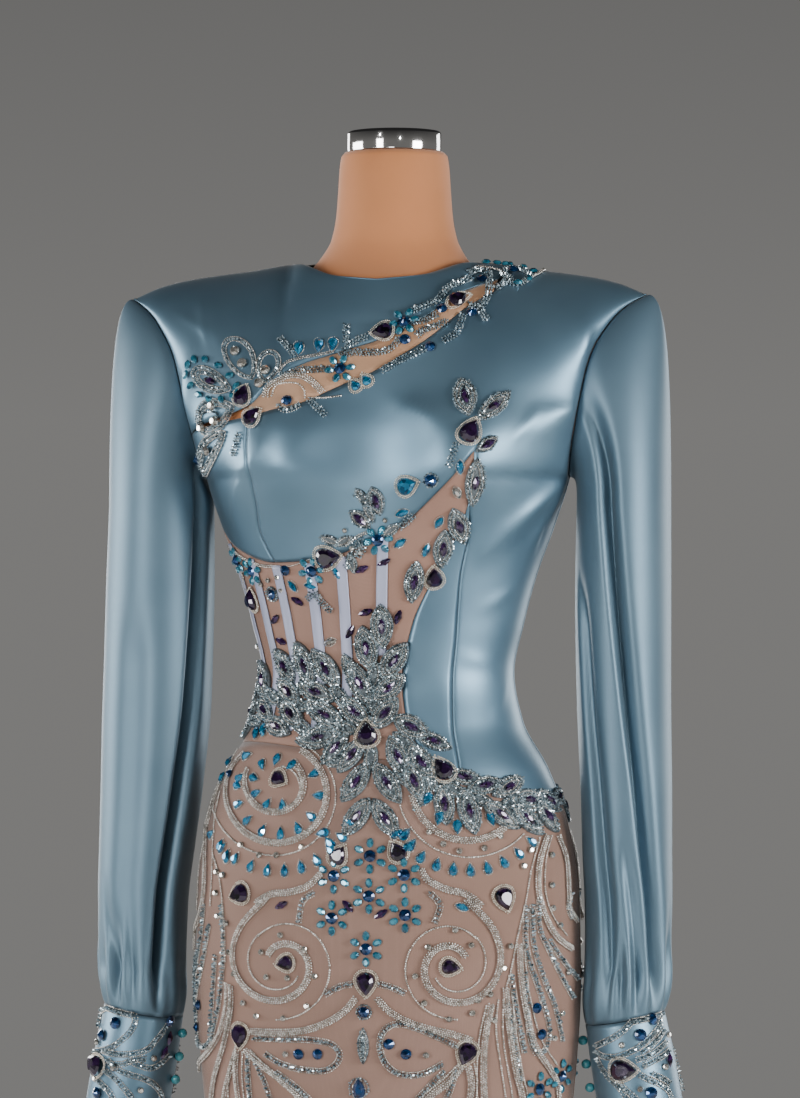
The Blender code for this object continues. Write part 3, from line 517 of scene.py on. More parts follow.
def addObject(name, mesh, material):
    mesh.materials.clear()
    mesh.materials.append(material)
    made = bpy.data.objects.new(name, mesh)
    bpy.context.scene.collection.objects.link(made)
    return made


def applied(made):
    # the object with its modifiers made real
    graph = bpy.context.evaluated_depsgraph_get()
    mesh = bpy.data.meshes.new_from_object(made.evaluated_get(graph))
    made.modifiers.clear()
    made.data = mesh
    return made


seamRoll = {"depth": 0.0004, "gap": 0.00022}  # how far a seam's edge turns in, and half the gap between two pieces


def rollEdges(mesh):
    # the open edges turn in a little and draw back, so that a seam shows as a fine groove
    cage = bmesh.new()
    cage.from_mesh(mesh)
    cage.normal_update()
    inward, normals = {}, {}
    for edge in cage.edges:
        if edge.is_boundary:
            face = edge.link_faces[0]
            a, b = edge.verts
            way = face.normal.cross(b.co - a.co).normalized()
            if way.dot(face.calc_center_median() - (a.co + b.co) / 2) < 0:
                way.negate()
            for corner in (a, b):
                inward.setdefault(corner, []).append(way)
                normals[corner] = corner.normal.copy()
    for corner, ways in inward.items():
        total = sum(ways, Vector())
        spreadOut = 1 + (ways[0].dot(ways[1]) if len(ways) > 1 else 0)
        corner.co += total * seamRoll["gap"] / max(spreadOut, 0.35) - normals[corner] * seamRoll["depth"]
    cage.to_mesh(mesh)
    cage.free()


def clothPiece(name, mesh, look, node,
               thickness=None, roll=True):
    # a sheet of cloth that stands for one solid or several
    if roll:
        rollEdges(mesh)
    made = addObject(name, mesh, looks[look])
    wall = made.modifiers.new("wall", "SOLIDIFY")
    wall.thickness = thickness or gownSize["cloth"]
    wall.offset = -1
    applied(made)
    made.data.shade_smooth()
    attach(made, "root")
    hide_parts(*((node,) if isinstance(node, str) else node))
    return made


# Stage, light and camera

stageSize = {"floorRadius": 2.6, "floorColour": (0.62, 0.61, 0.59), "air": (0.197, 0.194, 0.188),
             "ceiling": (0.025, 0.025, 0.026), "ceilingFrom": 0.03, "ceilingTo": 0.38}
view = {"turn": 9.0, "distance": 4.0, "height": 1.1586, "aside": 0.0112, "lens": 141.0, "sensor": 36.0}
softboxes = {
    # place, size, watts, aimed at height
    "leftBox": ((-2.7, 0.2, 1.25), (1.8, 0.9), 66, 1.12),
    "leftFront": ((-1.7, -3.3, 1.20), (1.0, 1.4), 74, 1.15),
    "rightBox": ((2.6, -1.1, 1.15), (1.2, 1.0), 84, 1.10),
    "frontBox": ((0.1, -4.4, 0.15), (1.0, 0.5), 6, 1.0),
    "backLeft": ((-1.8, 2.6, 1.3), (1.0, 1.6), 34, 1.0),
    "backRight": ((1.8, 2.6, 1.3), (1.0, 1.6), 34, 1.0),
    # small lamps that the crystals catch
    "spark1": ((-1.3, -2.6, 2.2), (0.07, 0.07), 7, 1.0),
    "spark2": ((1.2, -2.9, 1.9), (0.07, 0.07), 7, 1.0),
    "spark3": ((-0.4, -3.2, 0.3), (0.07, 0.07), 5, 1.0),
    "spark4": ((1.9, -2.0, 0.4), (0.07, 0.07), 5, 0.9),
    "spark5": ((-2.0, -2.2, 0.5), (0.07, 0.07), 5, 0.9),
}


def makeStage():
    cage = bmesh.new()
    bmesh.ops.create_circle(cage, cap_ends=True, radius=stageSize["floorRadius"], segments=96)
    paint = newMaterial("floorPaint", {"Base Color": stageSize["floorColour"], "Roughness": 0.8})
    floor = addObject("floor", finished(cage, "floor", smooth=False), paint)
    world = bpy.data.worlds.new("studio")
    bpy.context.scene.world = world
    world.use_nodes = True
    # the studio's walls are pale and its ceiling is dark
    tree = Tree(world.node_tree.nodes, world.node_tree.links)
    way = tree.node("ShaderNodeTexCoord", out="Generated")
    up = tree.node("ShaderNodeSeparateXYZ", {}, {"Vector": way}, "Z")
    above = spread(tree, up, stageSize["ceilingFrom"], stageSize["ceilingTo"])
    air = blendColour(tree, above, rgba(stageSize["air"]), rgba(stageSize["ceiling"]))
    tree.links.new(air.out, world.node_tree.nodes["Background"].inputs["Color"])
    for name, (at, size, watts, aim) in softboxes.items():
        light = bpy.data.lights.new(name, "AREA")
        light.shape, light.size, light.size_y, light.energy = "RECTANGLE", *size, watts
        lamp = bpy.data.objects.new(name, light)
        lamp.location = at
        lamp.rotation_euler = (Vector((0, 0, aim)) - Vector(at)).to_track_quat("-Z", "Y").to_euler()
        bpy.context.scene.collection.objects.link(lamp)


def makeCamera():
    camera = bpy.data.objects.new("camera", bpy.data.cameras.new("camera"))
    turn = math.radians(view["turn"])
    camera.location = (view["distance"] * math.sin(turn) + view["aside"] * math.cos(turn),
                       -view["distance"] * math.cos(turn) + view["aside"] * math.sin(turn), view["height"])
    camera.rotation_euler = (math.radians(90), 0, turn)
    camera.data.lens, camera.data.sensor_width = view["lens"], view["sensor"]
    bpy.context.scene.collection.objects.link(camera)
    bpy.context.scene.camera = camera


makeStage()
makeCamera()
print("stage, light and camera made")


# Bodice

bodiceGrid = {"front": 48, "side": 36, "rows": 30, "lowRows": 58, "back": 56, "mesh": 90, "meshRows": 54}
bodiceSheets = {
    # look, solid, slot, flat width and length, area as cut, how it is held
    "yokeFront": ("satin", "yoke_front", "satin", (0.42, 0.17), 0.046, "draped"),
    "slashMesh": ("slash", "inset_slash", "nude_mesh", (0.22, 0.045), 0.006, "stretched"),
    "bustSideR": ("satin", "bust_side_R", "satin", (0.13, 0.13), 0.0145, "draped"),
    "frontMain": ("satin", "front_main", "satin", (0.42, 0.52), 0.105, "draped"),
    "frontCentreL": ("satin", "front_centre_L", "satin", (0.065, 0.25), 0.0095, "draped"),
    "midriffMesh": ("midriff", "inset_midriff", "nude_mesh", (0.34, 0.27), 0.058, "stretched"),
    "backL": ("satin", "back_L", "satin", (0.30, 0.50), 0.115, "draped"),
    "backR": ("satin", "back_R", "satin", (0.30, 0.50), 0.115, "draped"),
}


def bodicePiece(name, patches, back=False):
    look, node, slot, flat, area, held = bodiceSheets[name]
    mesh = meshFrom(name, [gown(p[..., 0], p[..., 1], back) for p in patches])
    clothPiece(name, mesh, look, node)


def makeBodice():
    grid, shoulder, underarm = bodiceGrid, gownSize["shoulder"], gownSize["underarm"]
    top = toShoulder(1.262, 44)
    share = (top - top[0]) / (top[-1] - top[0])
    slant = np.stack([mix(low, high, share) for low, high in zip(yokeEnd, shoulderEnd)], -1)
    yoke = between(across("yoke", -90, yokeEnd[0], 84), straight((-90, shoulder), shoulderEnd, 84),
                   upright(-90, top), slant)
    bodicePiece("yokeFront", [yoke])

    slash = between(across("chest", -38, slashEnd[0], 60), across("yoke", -38, yokeEnd[0], 60),
                    straight((-38, 1.2785), (-38, 1.2875), 5), straight(slashEnd, yokeEnd, 5))
    bodicePiece("slashMesh", [slash])

    princess = upward("princessR", 1.146, 1.2785, grid["rows"])
    side = between(across("underbust", -90, -40.4, 32), across("chest", -90, -38, 32),
                   straight((-90, 1.192), (-90, 1.262), grid["rows"]), princess)
    bodicePiece("bustSideR", [side])

    shared = straight(apex, slashEnd, grid["rows"])
    chest = between(across("underbust", -40.4, apex[0], grid["front"]),
                    across("chest", -38, slashEnd[0], grid["front"]), princess, shared)
    lowLeft = joined(upward("princessL", 0.951, 1.200, grid["lowRows"]),
                     straight((34.4, 1.200), (34.8, 1.223), 6), straight((34.8, 1.223), apex, 6))
    ease = 1 - (1 - run(0, 1, 10))**1.6
    endSide = straight(slashEnd, shoulderEnd, 10)
    endSide[:, 1] = mix(slashEnd[1], shoulder, ease)
    rightSide = joined(straight((90, 0.925), (90, underarm), grid["lowRows"] + 12),
                       straight((90, underarm), (90, slashEnd[1]), grid["rows"]),
                       upright(90.0, mix(slashEnd[1], shoulder, ease)))
    main = between(across("hip", 31.8, 90, grid["side"]), straight(shoulderEnd, (90, shoulder), grid["side"]),
                   joined(lowLeft, shared, endSide), rightSide)
    bodicePiece("frontMain", [chest, main])

    strip = between(across("hip", 21.5, 31.8, 8), straight((33.6, 1.198), (34.4, 1.200), 8),
                    upward("cutout", 0.963, 1.198, 56), upward("princessL", 0.951, 1.200, 56))
    bodicePiece("frontCentreL", [strip])

    midriff = between(across("hip", -90, 21.5, grid["mesh"]), across("underbust", -90, apex[0], grid["mesh"]),
                      straight((-90, 0.978), (-90, 1.192), grid["meshRows"]),
                      upward("cutout", 0.963, apex[1], grid["meshRows"]))
    bodicePiece("midriffMesh", [midriff])

    for side, start, end, shift in (("L", 90, 180, 0), ("R", 180, 270, -360)):
        turns = run(start, end, grid["back"])
        foot = seams["hip"](turns + shift)
        ends = [upright(turn, np.concatenate([run(low, underarm, 52)[:-1], toShoulder(underarm, 40)]))
                for turn, low in ((turns[0], foot[0]), (turns[-1], foot[-1]))]
        panel = between(np.stack([turns, foot], -1), straight((start, shoulder), (end, shoulder), grid["back"]),
                        *ends)
        bodicePiece("back" + side, [panel], back=True)
    print("bodice made")


makeBodice()

boneSize = {
    # turn at the foot, turn at the top, height of the foot
    "places": [(-68, -73, 1.020), (-53, -55, 1.000), (-38.5, -40, 0.992), (-24.5, -24, 0.988),
               (-11.5, -11, 1.006), (3.5, 4.5, 1.062)],
    "topGap": 0.002,
    "width": 0.0102, "lift": 0.0016, "dome": 0.0008, "thickness": 0.0008,
}


def onGown(turn, level, lift):
    # a point that stands off the front of the gown
    return gown(turn, level) + outward(turn, level) * np.asarray(lift)[..., None]


def bonePath(i, steps):
    # the middle of a bone, and the degrees across half of it
    footTurn, topTurn, foot = boneSize["places"][i]
    top = float(seams["underbust"](topTurn)) - boneSize["topGap"]
    turns, levels = run(footTurn, topTurn, steps), run(foot, top, steps)
    wide = np.linalg.norm(gown(turns + 1, levels) - gown(turns - 1, levels), axis=-1) / 2
    return turns, levels, boneSize["width"] / 2 / wide


def makeBones():
    share = run(-1, 1, 8)
    rise = boneSize["lift"] + boneSize["dome"] * np.cos(share * math.pi / 2)
    for i in range(len(boneSize["places"])):
        turns, levels, half = bonePath(i, 40)
        grid = onGown(turns[:, None] + half[:, None] * share, levels[:, None] + 0 * share,
                      rise[None] + 0 * half[:, None])
        name, long = "bone%d" % (i + 1), levels[-1] - levels[0]
        clothPiece(name, meshFrom(name, [grid]), "bone", "bone_%d" % (i + 1),
                   boneSize["thickness"], roll=False)
    print("bones made")


makeBones()


# Skirt and flounce

skirtPanels = {
    # solid, first and last turn, columns, what brings a turn within the hip seam's table, flat size
    "skirtFront": ("skirt_front", -90, 90, 96, 0, (0.50, 0.53)),
    "skirtBackL": ("skirt_back_L", 90, 180, 56, 0, (0.28, 0.52)),
    "skirtBackR": ("skirt_back_R", 180, 270, 56, -360, (0.28, 0.52)),
}
skirtSize = {"rows": 64, "cutShare": 0.86, "flounceColumns": 240, "flounceRows": 44, "flounceFlat": (2.60, 0.58),
             "flounceArea": 1.02}


def makeSkirt():
    size, knee = skirtSize, gownSize["knee"]
    for name, (node, start, end, columns, shift, flat) in skirtPanels.items():
        turns = run(start, end, columns)
        top = np.stack([turns, seams["hip"](turns + shift)], -1)
        ends = [straight((turn, knee), (turn, high), size["rows"]) for turn, high in (top[0], top[-1])]
        grid = between(straight((start, knee), (end, knee), columns), top, *ends)
        points = gown(grid[..., 0], grid[..., 1], name != "skirtFront")
        clothPiece(name, meshFrom(name, [points]), "skirt", node)
    columns = size["flounceColumns"]
    turns, levels = np.meshgrid(np.arange(columns) * 360 / columns,
                                run(gownSize["hem"], knee, size["flounceRows"]))
    clothPiece("flounce", meshFrom("flounce", [flouncePoint(turns, levels)], around=True), "skirt",
               ("flounce_front", "flounce_back_L", "flounce_back_R"),
               roll=False)
    print("skirt made")


makeSkirt()


# Sleeves and cuffs

sleeveSize = {
    "L": [(0.745, 0.2214, 0.0387, 0.0455), (0.785, 0.2227, 0.0390, 0.0480), (0.832, 0.2240, 0.0403, 0.0500),
          (0.880, 0.2229, 0.0413, 0.0520), (0.932, 0.2222, 0.0420, 0.0540), (1.020, 0.2199, 0.0433, 0.0570),
          (1.110, 0.2192, 0.0441, 0.0600), (1.200, 0.2199, 0.0433, 0.0620)],
    "R": [(0.745, 0.2330, 0.0380, 0.0455), (0.785, 0.2342, 0.0408, 0.0480), (0.832, 0.2335, 0.0422, 0.0500),
          (0.880, 0.2299, 0.0447, 0.0520), (0.932, 0.2256, 0.0475, 0.0540), (1.020, 0.2202, 0.0508, 0.0570),
          (1.110, 0.2175, 0.0505, 0.0600), (1.200, 0.2157, 0.0487, 0.0620)],
    "middleY": 0.005, "headZ": 1.200, "columns": 168, "gathers": 14, "gatherDepth": 0.0048,
    # the head leaves its seam outwards, with a puff on top, drawn in and lifted, and follows it down
    "headOut": 0.008, "headPuff": 0.013, "headDraw": 0.16, "headLift": 0.004, "headFollow": 0.62,
    "fadeTop": 0.07, "fadeFoot": 0.03, "tiltFrom": 0.835, "tiltOver": 0.10, "armFoot": 0.765,
    "headRows": 24, "armRows": 66, "footRows": 9, "footLift": 0.0006, "swell": 0.0022, "swellAt": 0.045,
    "flat": (0.40, 0.68), "area": 0.215,
    # the gathers above the cuff are uneven in depth and in spacing, and flatter on the inner side
    "uneven": 0.38, "unevenFrom": {"L": 0.7, "R": 2.1}, "wander": 0.5, "wanderFrom": 0.735,
    "wanderOver": 0.05, "flatter": 0.7,
    # long folds: degrees round from the outer side at the top and at the foot, half width on either side in
    # degrees, depth, height of the top and of the foot
    "folds": {
        "R": [(158, 124, 6, 8, 0.0240, 1.262, 0.745), (78, 84, 17, 15, 0.0040, 1.120, 0.740),
              (44, 66, 6, 10, 0.0050, 0.860, 0.745),
              (236, 230, 12, 9, 0.0070, 1.240, 0.745), (300, 290, 13, 12, 0.0040, 1.150, 0.745)],
        "L": [(116, 40, 12, 5, 0.0165, 1.275, 0.750), (148, 104, 12, 6, 0.0085, 1.150, 0.750),
              (88, 66, 8, 6, 0.0060, 0.905, 0.742),
              (236, 242, 12, 9, 0.0070, 1.240, 0.745), (292, 300, 13, 12, 0.0040, 1.150, 0.745)]},
    "nodes": {"L": ("sleeve_front_L", "sleeve_back_L"),
              "R": ("sleeve_front_upper_R", "sleeve_front_lower_R", "sleeve_back_upper_R", "sleeve_back_lower_R")},
    "gatherAt": [(0.725, 0.30), (0.742, 0.90), (0.765, 1.0), (0.785, 0.55), (0.808, 0.20), (0.840, 0.0)],
}
cuffSize = {
    "centre": {"R": 0.2331, "L": 0.2210}, "topZ": 0.726, "tilt": math.radians(10), "length": 0.115,
    "sections": [(0.0, 0.0370, 0.0445), (0.035, 0.0385, 0.0455), (0.075, 0.0390, 0.0460), (0.115, 0.0385, 0.0455)],
    "buttonRadius": 0.0045, "buttonsAt": (0.014, 0.036, 0.058, 0.080), "buttonTurn": 172, "buttonLift": 0.92,
    "columns": 96, "rows": 24, "flat": (0.27, 0.115), "area": 0.0305,
}
gatherAt = throughTable(sleeveSize["gatherAt"])
cuffWide, cuffDeep = throughTable(cuffSize["sections"], 1), throughTable(cuffSize["sections"], 2)


def sleeveRib(side, degrees, z):
    size, rib = sleeveSize, 0.0
    for top, foot, before, after, depth, high, low in size["folds"][side]:
        share = np.clip((high - z) / (high - low), 0, 1)
        off = (degrees - mix(top, foot, share) + 180) % 360 - 180
        fade = np.clip((high - z) / size["fadeTop"], 0, 1) * np.clip((z - low) / size["fadeFoot"], 0, 1)
        fade = fade * fade * (3 - 2 * fade)
        rib = rib - depth * np.exp(-(off / np.where(off < 0, before, after))**2) * fade
    bend = np.radians(degrees)
    inner = np.maximum(-np.cos(bend), 0)
    uneven = 1 - size["uneven"] + size["uneven"] * np.sin(5 * bend + size["unevenFrom"][side])
    wander = (size["wander"] * np.sin(3 * bend + 1.1)
              * np.clip((z - size["wanderFrom"]) / size["wanderOver"], 0, 1))
    return rib + (size["gatherDepth"] * gatherAt(z) * (1 - size["flatter"] * inner) * uneven
                  * np.cos(bend * size["gathers"] + wander))


def cuffPoint(side, degrees, along, lift=0.0):
    way = 1 if side == "L" else -1
    tilt = cuffSize["tilt"]
    origin = np.array([way * cuffSize["centre"][side], sleeveSize["middleY"], cuffSize["topZ"]])
    down = np.array([way * math.sin(tilt), 0, -math.cos(tilt)])
    outer = np.array([way * math.cos(tilt), 0, math.sin(tilt)])
    angle = np.radians(degrees)
    wide, deep = cuffWide(along) + lift, cuffDeep(along) + lift
    return (origin + down * np.asarray(along)[..., None] + outer * (wide * np.cos(angle))[..., None]
            + np.array([0, -1, 0]) * (deep * np.sin(angle))[..., None])


def sleeveSection(side, degrees, z):
    way = 1 if side == "L" else -1
    centre, wide, deep = (throughTable(sleeveSize[side], c)(z) for c in (1, 2, 3))
    angle = np.radians(degrees)
    rib = sleeveRib(side, degrees, z)
    acrossX = (wide + rib) * np.cos(angle)
    tilt = np.clip((sleeveSize["tiltFrom"] - z) / sleeveSize["tiltOver"], 0, 1) * math.tan(cuffSize["tilt"])
    return np.stack([way * (centre + acrossX), sleeveSize["middleY"] - (deep + rib) * np.sin(angle),
                     z + tilt * acrossX], -1)


def sleeveHead(side, degrees, share):
    # a curve from the armhole seam down to the sleeve's first plain section
    size, way = sleeveSize, 1 if side == "L" else -1
    cosine = np.cos(np.radians(degrees))
    level = mix(gownSize["underarm"], gownSize["shoulder"], (1 + cosine) / 2)
    front = gown(90 * way, level)
    rear = gown(90 if way > 0 else 270, level, True)
    seam = np.where((degrees > 180)[..., None], rear, front)
    seam = np.stack([way * (np.abs(seam[..., 0]) + gownSize["armholeGap"]), seam[..., 1], seam[..., 2]], -1)
    lowest = sleeveSection(side, degrees, np.full_like(degrees, size["headZ"]))
    upper = np.maximum(cosine, 0)
    out = size["headOut"] + size["headPuff"] * upper
    first = seam + np.stack([way * out, seam[..., 1] * size["headDraw"], size["headLift"] * upper], -1)
    second = lowest + np.stack([0 * out, 0 * out, (seam[..., 2] - size["headZ"]) * size["headFollow"]], -1)
    t = share[..., None]
    s = 1 - t
    return seam * s**3 + first * 3 * s * s * t + second * 3 * s * t * t + lowest * t**3


def makeSleeves():
    size, cuff = sleeveSize, cuffSize
    columns = np.arange(size["columns"]) * 360 / size["columns"]
    for side in ("R", "L"):
        turns, share = np.meshgrid(columns, run(0, 1, size["headRows"])[:-1])
        head = sleeveHead(side, turns, share)
        turns, z = np.meshgrid(columns, run(size["headZ"], size["armFoot"], size["armRows"]))
        arm = sleeveSection(side, turns, z)
        last = cuffPoint(side, columns, np.full_like(columns, -size["footLift"]),
                         size["footLift"] * np.cos(np.radians(columns * size["gathers"])))
        share = run(0, 1, size["footRows"])[1:, None, None]
        swell = size["swell"] * np.sin(share * math.pi) * (arm[-1] - arm[-1].mean(0)) / size["swellAt"]
        foot = mix(arm[-1][None], last[None], share) + swell
        name = "sleeve" + side
        clothPiece(name, meshFrom(name, [np.concatenate([head, arm, foot])], True, side == "R"), "sleeve",
                   size["nodes"][side])
        turns, along = np.meshgrid(np.arange(cuff["columns"]) * 360 / cuff["columns"],
                                   run(0, cuff["length"], cuff["rows"]))
        mesh = meshFrom("cuff" + side, [cuffPoint(side, turns, along)], True, side == "R")
        clothPiece("cuff" + side, mesh, "satin", "cuff_" + side,
                   roll=False)
    print("sleeves and cuffs made")


makeSleeves()

# Dress form and stand

formSize = {
    "inset": [(0.600, 0.0042), (0.950, 0.0042), (1.000, 0.0036), (1.090, 0.0036), (1.150, 0.0056), (1.240, 0.0076),
              (1.300, 0.0076), (1.405, 0.0095)],
    "foot": 0.600, "top": 1.388, "neckCentre": 0.004,
    # height, half width, half depth, middle of the depth
    "neck": [(1.340, 0.060, 0.040, 0.004), (1.385, 0.078, 0.054, 0.003), (1.404, 0.0815, 0.064, 0.002),
             (1.416, 0.0785, 0.0585, 0.005), (1.427, 0.0700, 0.0550, 0.008), (1.436, 0.0640, 0.0540, 0.011),
             (1.446, 0.0590, 0.0535, 0.013), (1.468, 0.0545, 0.0535, 0.014), (1.490, 0.0527, 0.0525, 0.014),
             (1.513, 0.0512, 0.0512, 0.014), (1.524, 0.0496, 0.0496, 0.014), (1.528, 0.0465, 0.0465, 0.014)],
    # radius and height down each turned piece's outer side
    "cap": [(0, 1.548), (0.0400, 1.548), (0.0425, 1.5476), (0.0436, 1.5465), (0.0440, 1.545), (0.0440, 1.531),
            (0.0436, 1.5292), (0.0425, 1.5284), (0, 1.5284)],
    "pole": [(0, 0.5997), (0.0155, 0.5997), (0.0160, 0.5990), (0.0160, 0.0510), (0.0155, 0.0503), (0, 0.0503)],
    "base": [(0, 0.050), (0.0245, 0.050), (0.0258, 0.0494), (0.0268, 0.0480), (0.0280, 0.034), (0.0300, 0.0260),
             (0.0350, 0.0220), (0.060, 0.0170), (0.120, 0.0140), (0.170, 0.0120), (0.1765, 0.0110),
             (0.1792, 0.0090), (0.1800, 0.0065), (0.1800, 0.0015), (0.1790, 0.0), (0, 0.0)],
}


def closedRings(name, rings):
    cage = bmesh.new()
    closeRings(cage, rings)
    bmesh.ops.recalc_face_normals(cage, faces=cage.faces)
    return finished(cage, name, sharp=50)


def turned(name, profile, steps, centre, look):
    # a turned solid, whose profile may start and end in its axis
    cage = bmesh.new()
    rings = []
    for radius, height in profile:
        angles = [2 * math.pi * i / steps for i in range(steps)] if radius else [0.0]
        rings.append([cage.verts.new((centre[0] + radius * math.cos(a), centre[1] + radius * math.sin(a), height))
                      for a in angles])
    for high, low in zip(rings, rings[1:]):
        for i in range(steps):
            j = (i + 1) % steps
            corners = high[i % len(high)], low[i % len(low)], low[j % len(low)], high[j % len(high)]
            cage.faces.new(tuple(dict.fromkeys(corners)))
    bmesh.ops.recalc_face_normals(cage, faces=cage.faces)
    return addObject(name, finished(cage, name, sharp=40), looks[look])


def rigid(made, slot, *nodes):
    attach(made, "root")
    if nodes:
        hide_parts(*nodes)
    return made


def makeForm():
    size = formSize
    levels = np.concatenate([run(size["foot"], 1.30, 60), run(1.30, size["top"], 16)[1:]])
    inset = throughTable(size["inset"])
    rings = []
    for level in levels:
        ring = []
        for turns, back in ((run(-90, 90, 60), False), (run(93, 267, 58), True)):
            points = gown(turns, level, back, False)
            ring.append(points - outward(turns, np.full_like(turns, level), back, False) * inset(level))
        rings.append(np.concatenate(ring))
    torso = closedRings("formTorso", rings)
    wide, deep, middle = (throughTable(size["neck"], c) for c in (1, 2, 3))
    angles = np.radians(np.arange(72) * 5)
    heights = np.concatenate([run(1.340, 1.520, 40), run(1.520, 1.528, 8)[1:]])
    neck = closedRings("formNeck", [np.stack([size["neckCentre"] + wide(z) * np.cos(angles),
                                              middle(z) + deep(z) * np.sin(angles), np.full_like(angles, z)], -1)
                                    for z in heights])
    made = addObject("formTorso", torso, looks["jersey"])
    rigid(addObject("formNeck", neck, looks["jersey"]), "form_cover")
    rigid(made, "form_cover", "form_torso")
    capCentre = (size["neckCentre"], size["neck"][-1][3])
    rigid(turned("neckCap", size["cap"], 96, capCentre, "cap"), "polished_metal", "form_neck_cap")
    rigid(turned("standPole", size["pole"], 48, (0, 0), "pole"), "polished_metal", "form_pole")
    rigid(turned("standBase", size["base"], 96, (0, 0), "paint"), "stand_paint", "form_base")
    print("form and stand made")


makeForm()


# Geometry node trees: beads along a path, and stones on points

def geometryTree(name, sockets):
    group = bpy.data.node_groups.new(name, "GeometryNodeTree")
    group.interface.new_socket("Geometry", in_out="INPUT", socket_type="NodeSocketGeometry")
    group.interface.new_socket("Geometry", in_out="OUTPUT", socket_type="NodeSocketGeometry")
    for label, kind, value in sockets:
        made = group.interface.new_socket(label, in_out="INPUT", socket_type="NodeSocket" + kind)
        if value is not None:
            made.default_value = value
    tree = Tree(group.nodes, group.links)
    start = group.nodes.new("NodeGroupInput")
    entry = {out.name: Sock(tree, out) for out in start.outputs if out.name}
    return group, tree, entry


def endTree(group, tree, points, shape, rotation, scale, material):
    grown = tree.node("GeometryNodeInstanceOnPoints", {}, {"Points": points, "Instance": shape,
                                                           "Rotation": rotation, "Scale": scale})
    real = tree.node("GeometryNodeRealizeInstances", {}, {"Geometry": grown})
    done = tree.node("GeometryNodeSetMaterial", {}, {"Geometry": real, "Material": material})
    tree.node("NodeGroupOutput", {}, {"Geometry": done})
    return group


def vector(tree, operation, a, b=None, scale=None):
    inputs = {0: a}
    if b is not None:
        inputs[1] = b
    if scale is not None:
        inputs["Scale"] = scale
    return tree.node("ShaderNodeVectorMath", {"operation": operation}, inputs)


def named(tree, name):
    return tree.node("GeometryNodeInputNamedAttribute", {"data_type": "FLOAT_VECTOR"}, {"Name": name})


def template(tree, shape):
    return tree.node("GeometryNodeObjectInfo", {"transform_space": "ORIGINAL"}, {"Object": shape}, "Geometry")


def tumbled(tree, turn, entry):
    # a small turn of its own for every stone, so that each catches the light at another moment
    tumble = tree.node("FunctionNodeRandomValue", {"data_type": "FLOAT_VECTOR"}, {"Seed": entry["Seed"]}, 0)
    middle = vector(tree, "SCALE", vector(tree, "SUBTRACT", tumble, (0.5, 0.5, 0.5)), scale=entry["Tumble"] * 2)
    small = tree.node("FunctionNodeEulerToRotation", {}, {0: middle})
    return tree.node("FunctionNodeRotateRotation", {"rotation_space": "LOCAL"}, {0: turn, 1: small})


def beadTree():
    group, tree, entry = geometryTree("beadsAlongPath", [
        ("Pitch", "Float", 0.0016), ("Strands", "Int", 1), ("Spacing", "Float", 0.0014), ("Dome", "Float", 0.0),
        ("Bead", "Object", None), ("Size", "Float", 0.0014), ("Uneven", "Float", 0.1), ("Tumble", "Float", 0.0),
        ("Seed", "Int", 0), ("Material", "Material", None)])
    line = tree.node("GeometryNodeMeshToCurve", {}, {"Mesh": entry["Geometry"]})
    copies = tree.node("GeometryNodeDuplicateElements", {"domain": "SPLINE"},
                       {"Geometry": line, "Amount": entry["Strands"]})
    strand = Sock(tree, copies.out.node.outputs["Duplicate Index"])
    evenly = tree.node("GeometryNodeResampleCurve", {"mode": "LENGTH"},
                       {"Curve": copies, "Length": entry["Pitch"]})
    along = tree.node("GeometryNodeInputTangent")
    up = vector(tree, "NORMALIZE", named(tree, "up"))
    side = vector(tree, "NORMALIZE", vector(tree, "CROSS_PRODUCT", up, along))
    off = strand - (entry["Strands"] - 1) * 0.5
    edge = off * off / (entry["Strands"] * entry["Strands"] * 0.25)
    lift = vector(tree, "SCALE", up, scale=entry["Dome"] * (1 - edge))
    sideways = vector(tree, "SCALE", side, scale=off * entry["Spacing"])
    stagger = vector(tree, "SCALE", along, scale=strand.maths("MODULO", 2.0) * entry["Pitch"] * 0.5)
    offset = vector(tree, "ADD", vector(tree, "ADD", lift, sideways), stagger)
    moved = tree.node("GeometryNodeSetPosition", {}, {"Geometry": evenly, "Offset": offset})
    turn = tree.node("FunctionNodeAxesToRotation", {"primary_axis": "Z", "secondary_axis": "X"},
                     {"Primary Axis": up, "Secondary Axis": along})
    chance = tree.node("FunctionNodeRandomValue", {"data_type": "FLOAT"},
                       {2: 1 - entry["Uneven"], 3: 1 + entry["Uneven"], "Seed": entry["Seed"]}, 1)
    return endTree(group, tree, moved, template(tree, entry["Bead"]), tumbled(tree, turn, entry),
                   chance * entry["Size"], entry["Material"])


def stoneTree():
    group, tree, entry = geometryTree("stonesOnPoints", [
        ("Stone", "Object", None), ("Tumble", "Float", 0.06), ("Seed", "Int", 0), ("Material", "Material", None)])
    points = tree.node("GeometryNodeMeshToPoints", {}, {"Mesh": entry["Geometry"]})
    turn = tree.node("FunctionNodeAxesToRotation", {"primary_axis": "Z", "secondary_axis": "Y"},
                     {"Primary Axis": named(tree, "up"), "Secondary Axis": named(tree, "along")})
    return endTree(group, tree, points, template(tree, entry["Stone"]), tumbled(tree, turn, entry),
                   named(tree, "size"), entry["Material"])


trees = {"beads": beadTree(), "stones": stoneTree()}
print("node trees made")


# Looks of the beads and stones

def speckles(tree, scale):
    # a value of its own for every small cell
    cells = tree.node("ShaderNodeTexVoronoi", {}, {"Vector": place(tree), "Scale": scale}, "Color")
    return tree.node("ShaderNodeSeparateColor", {}, {"Color": cells})


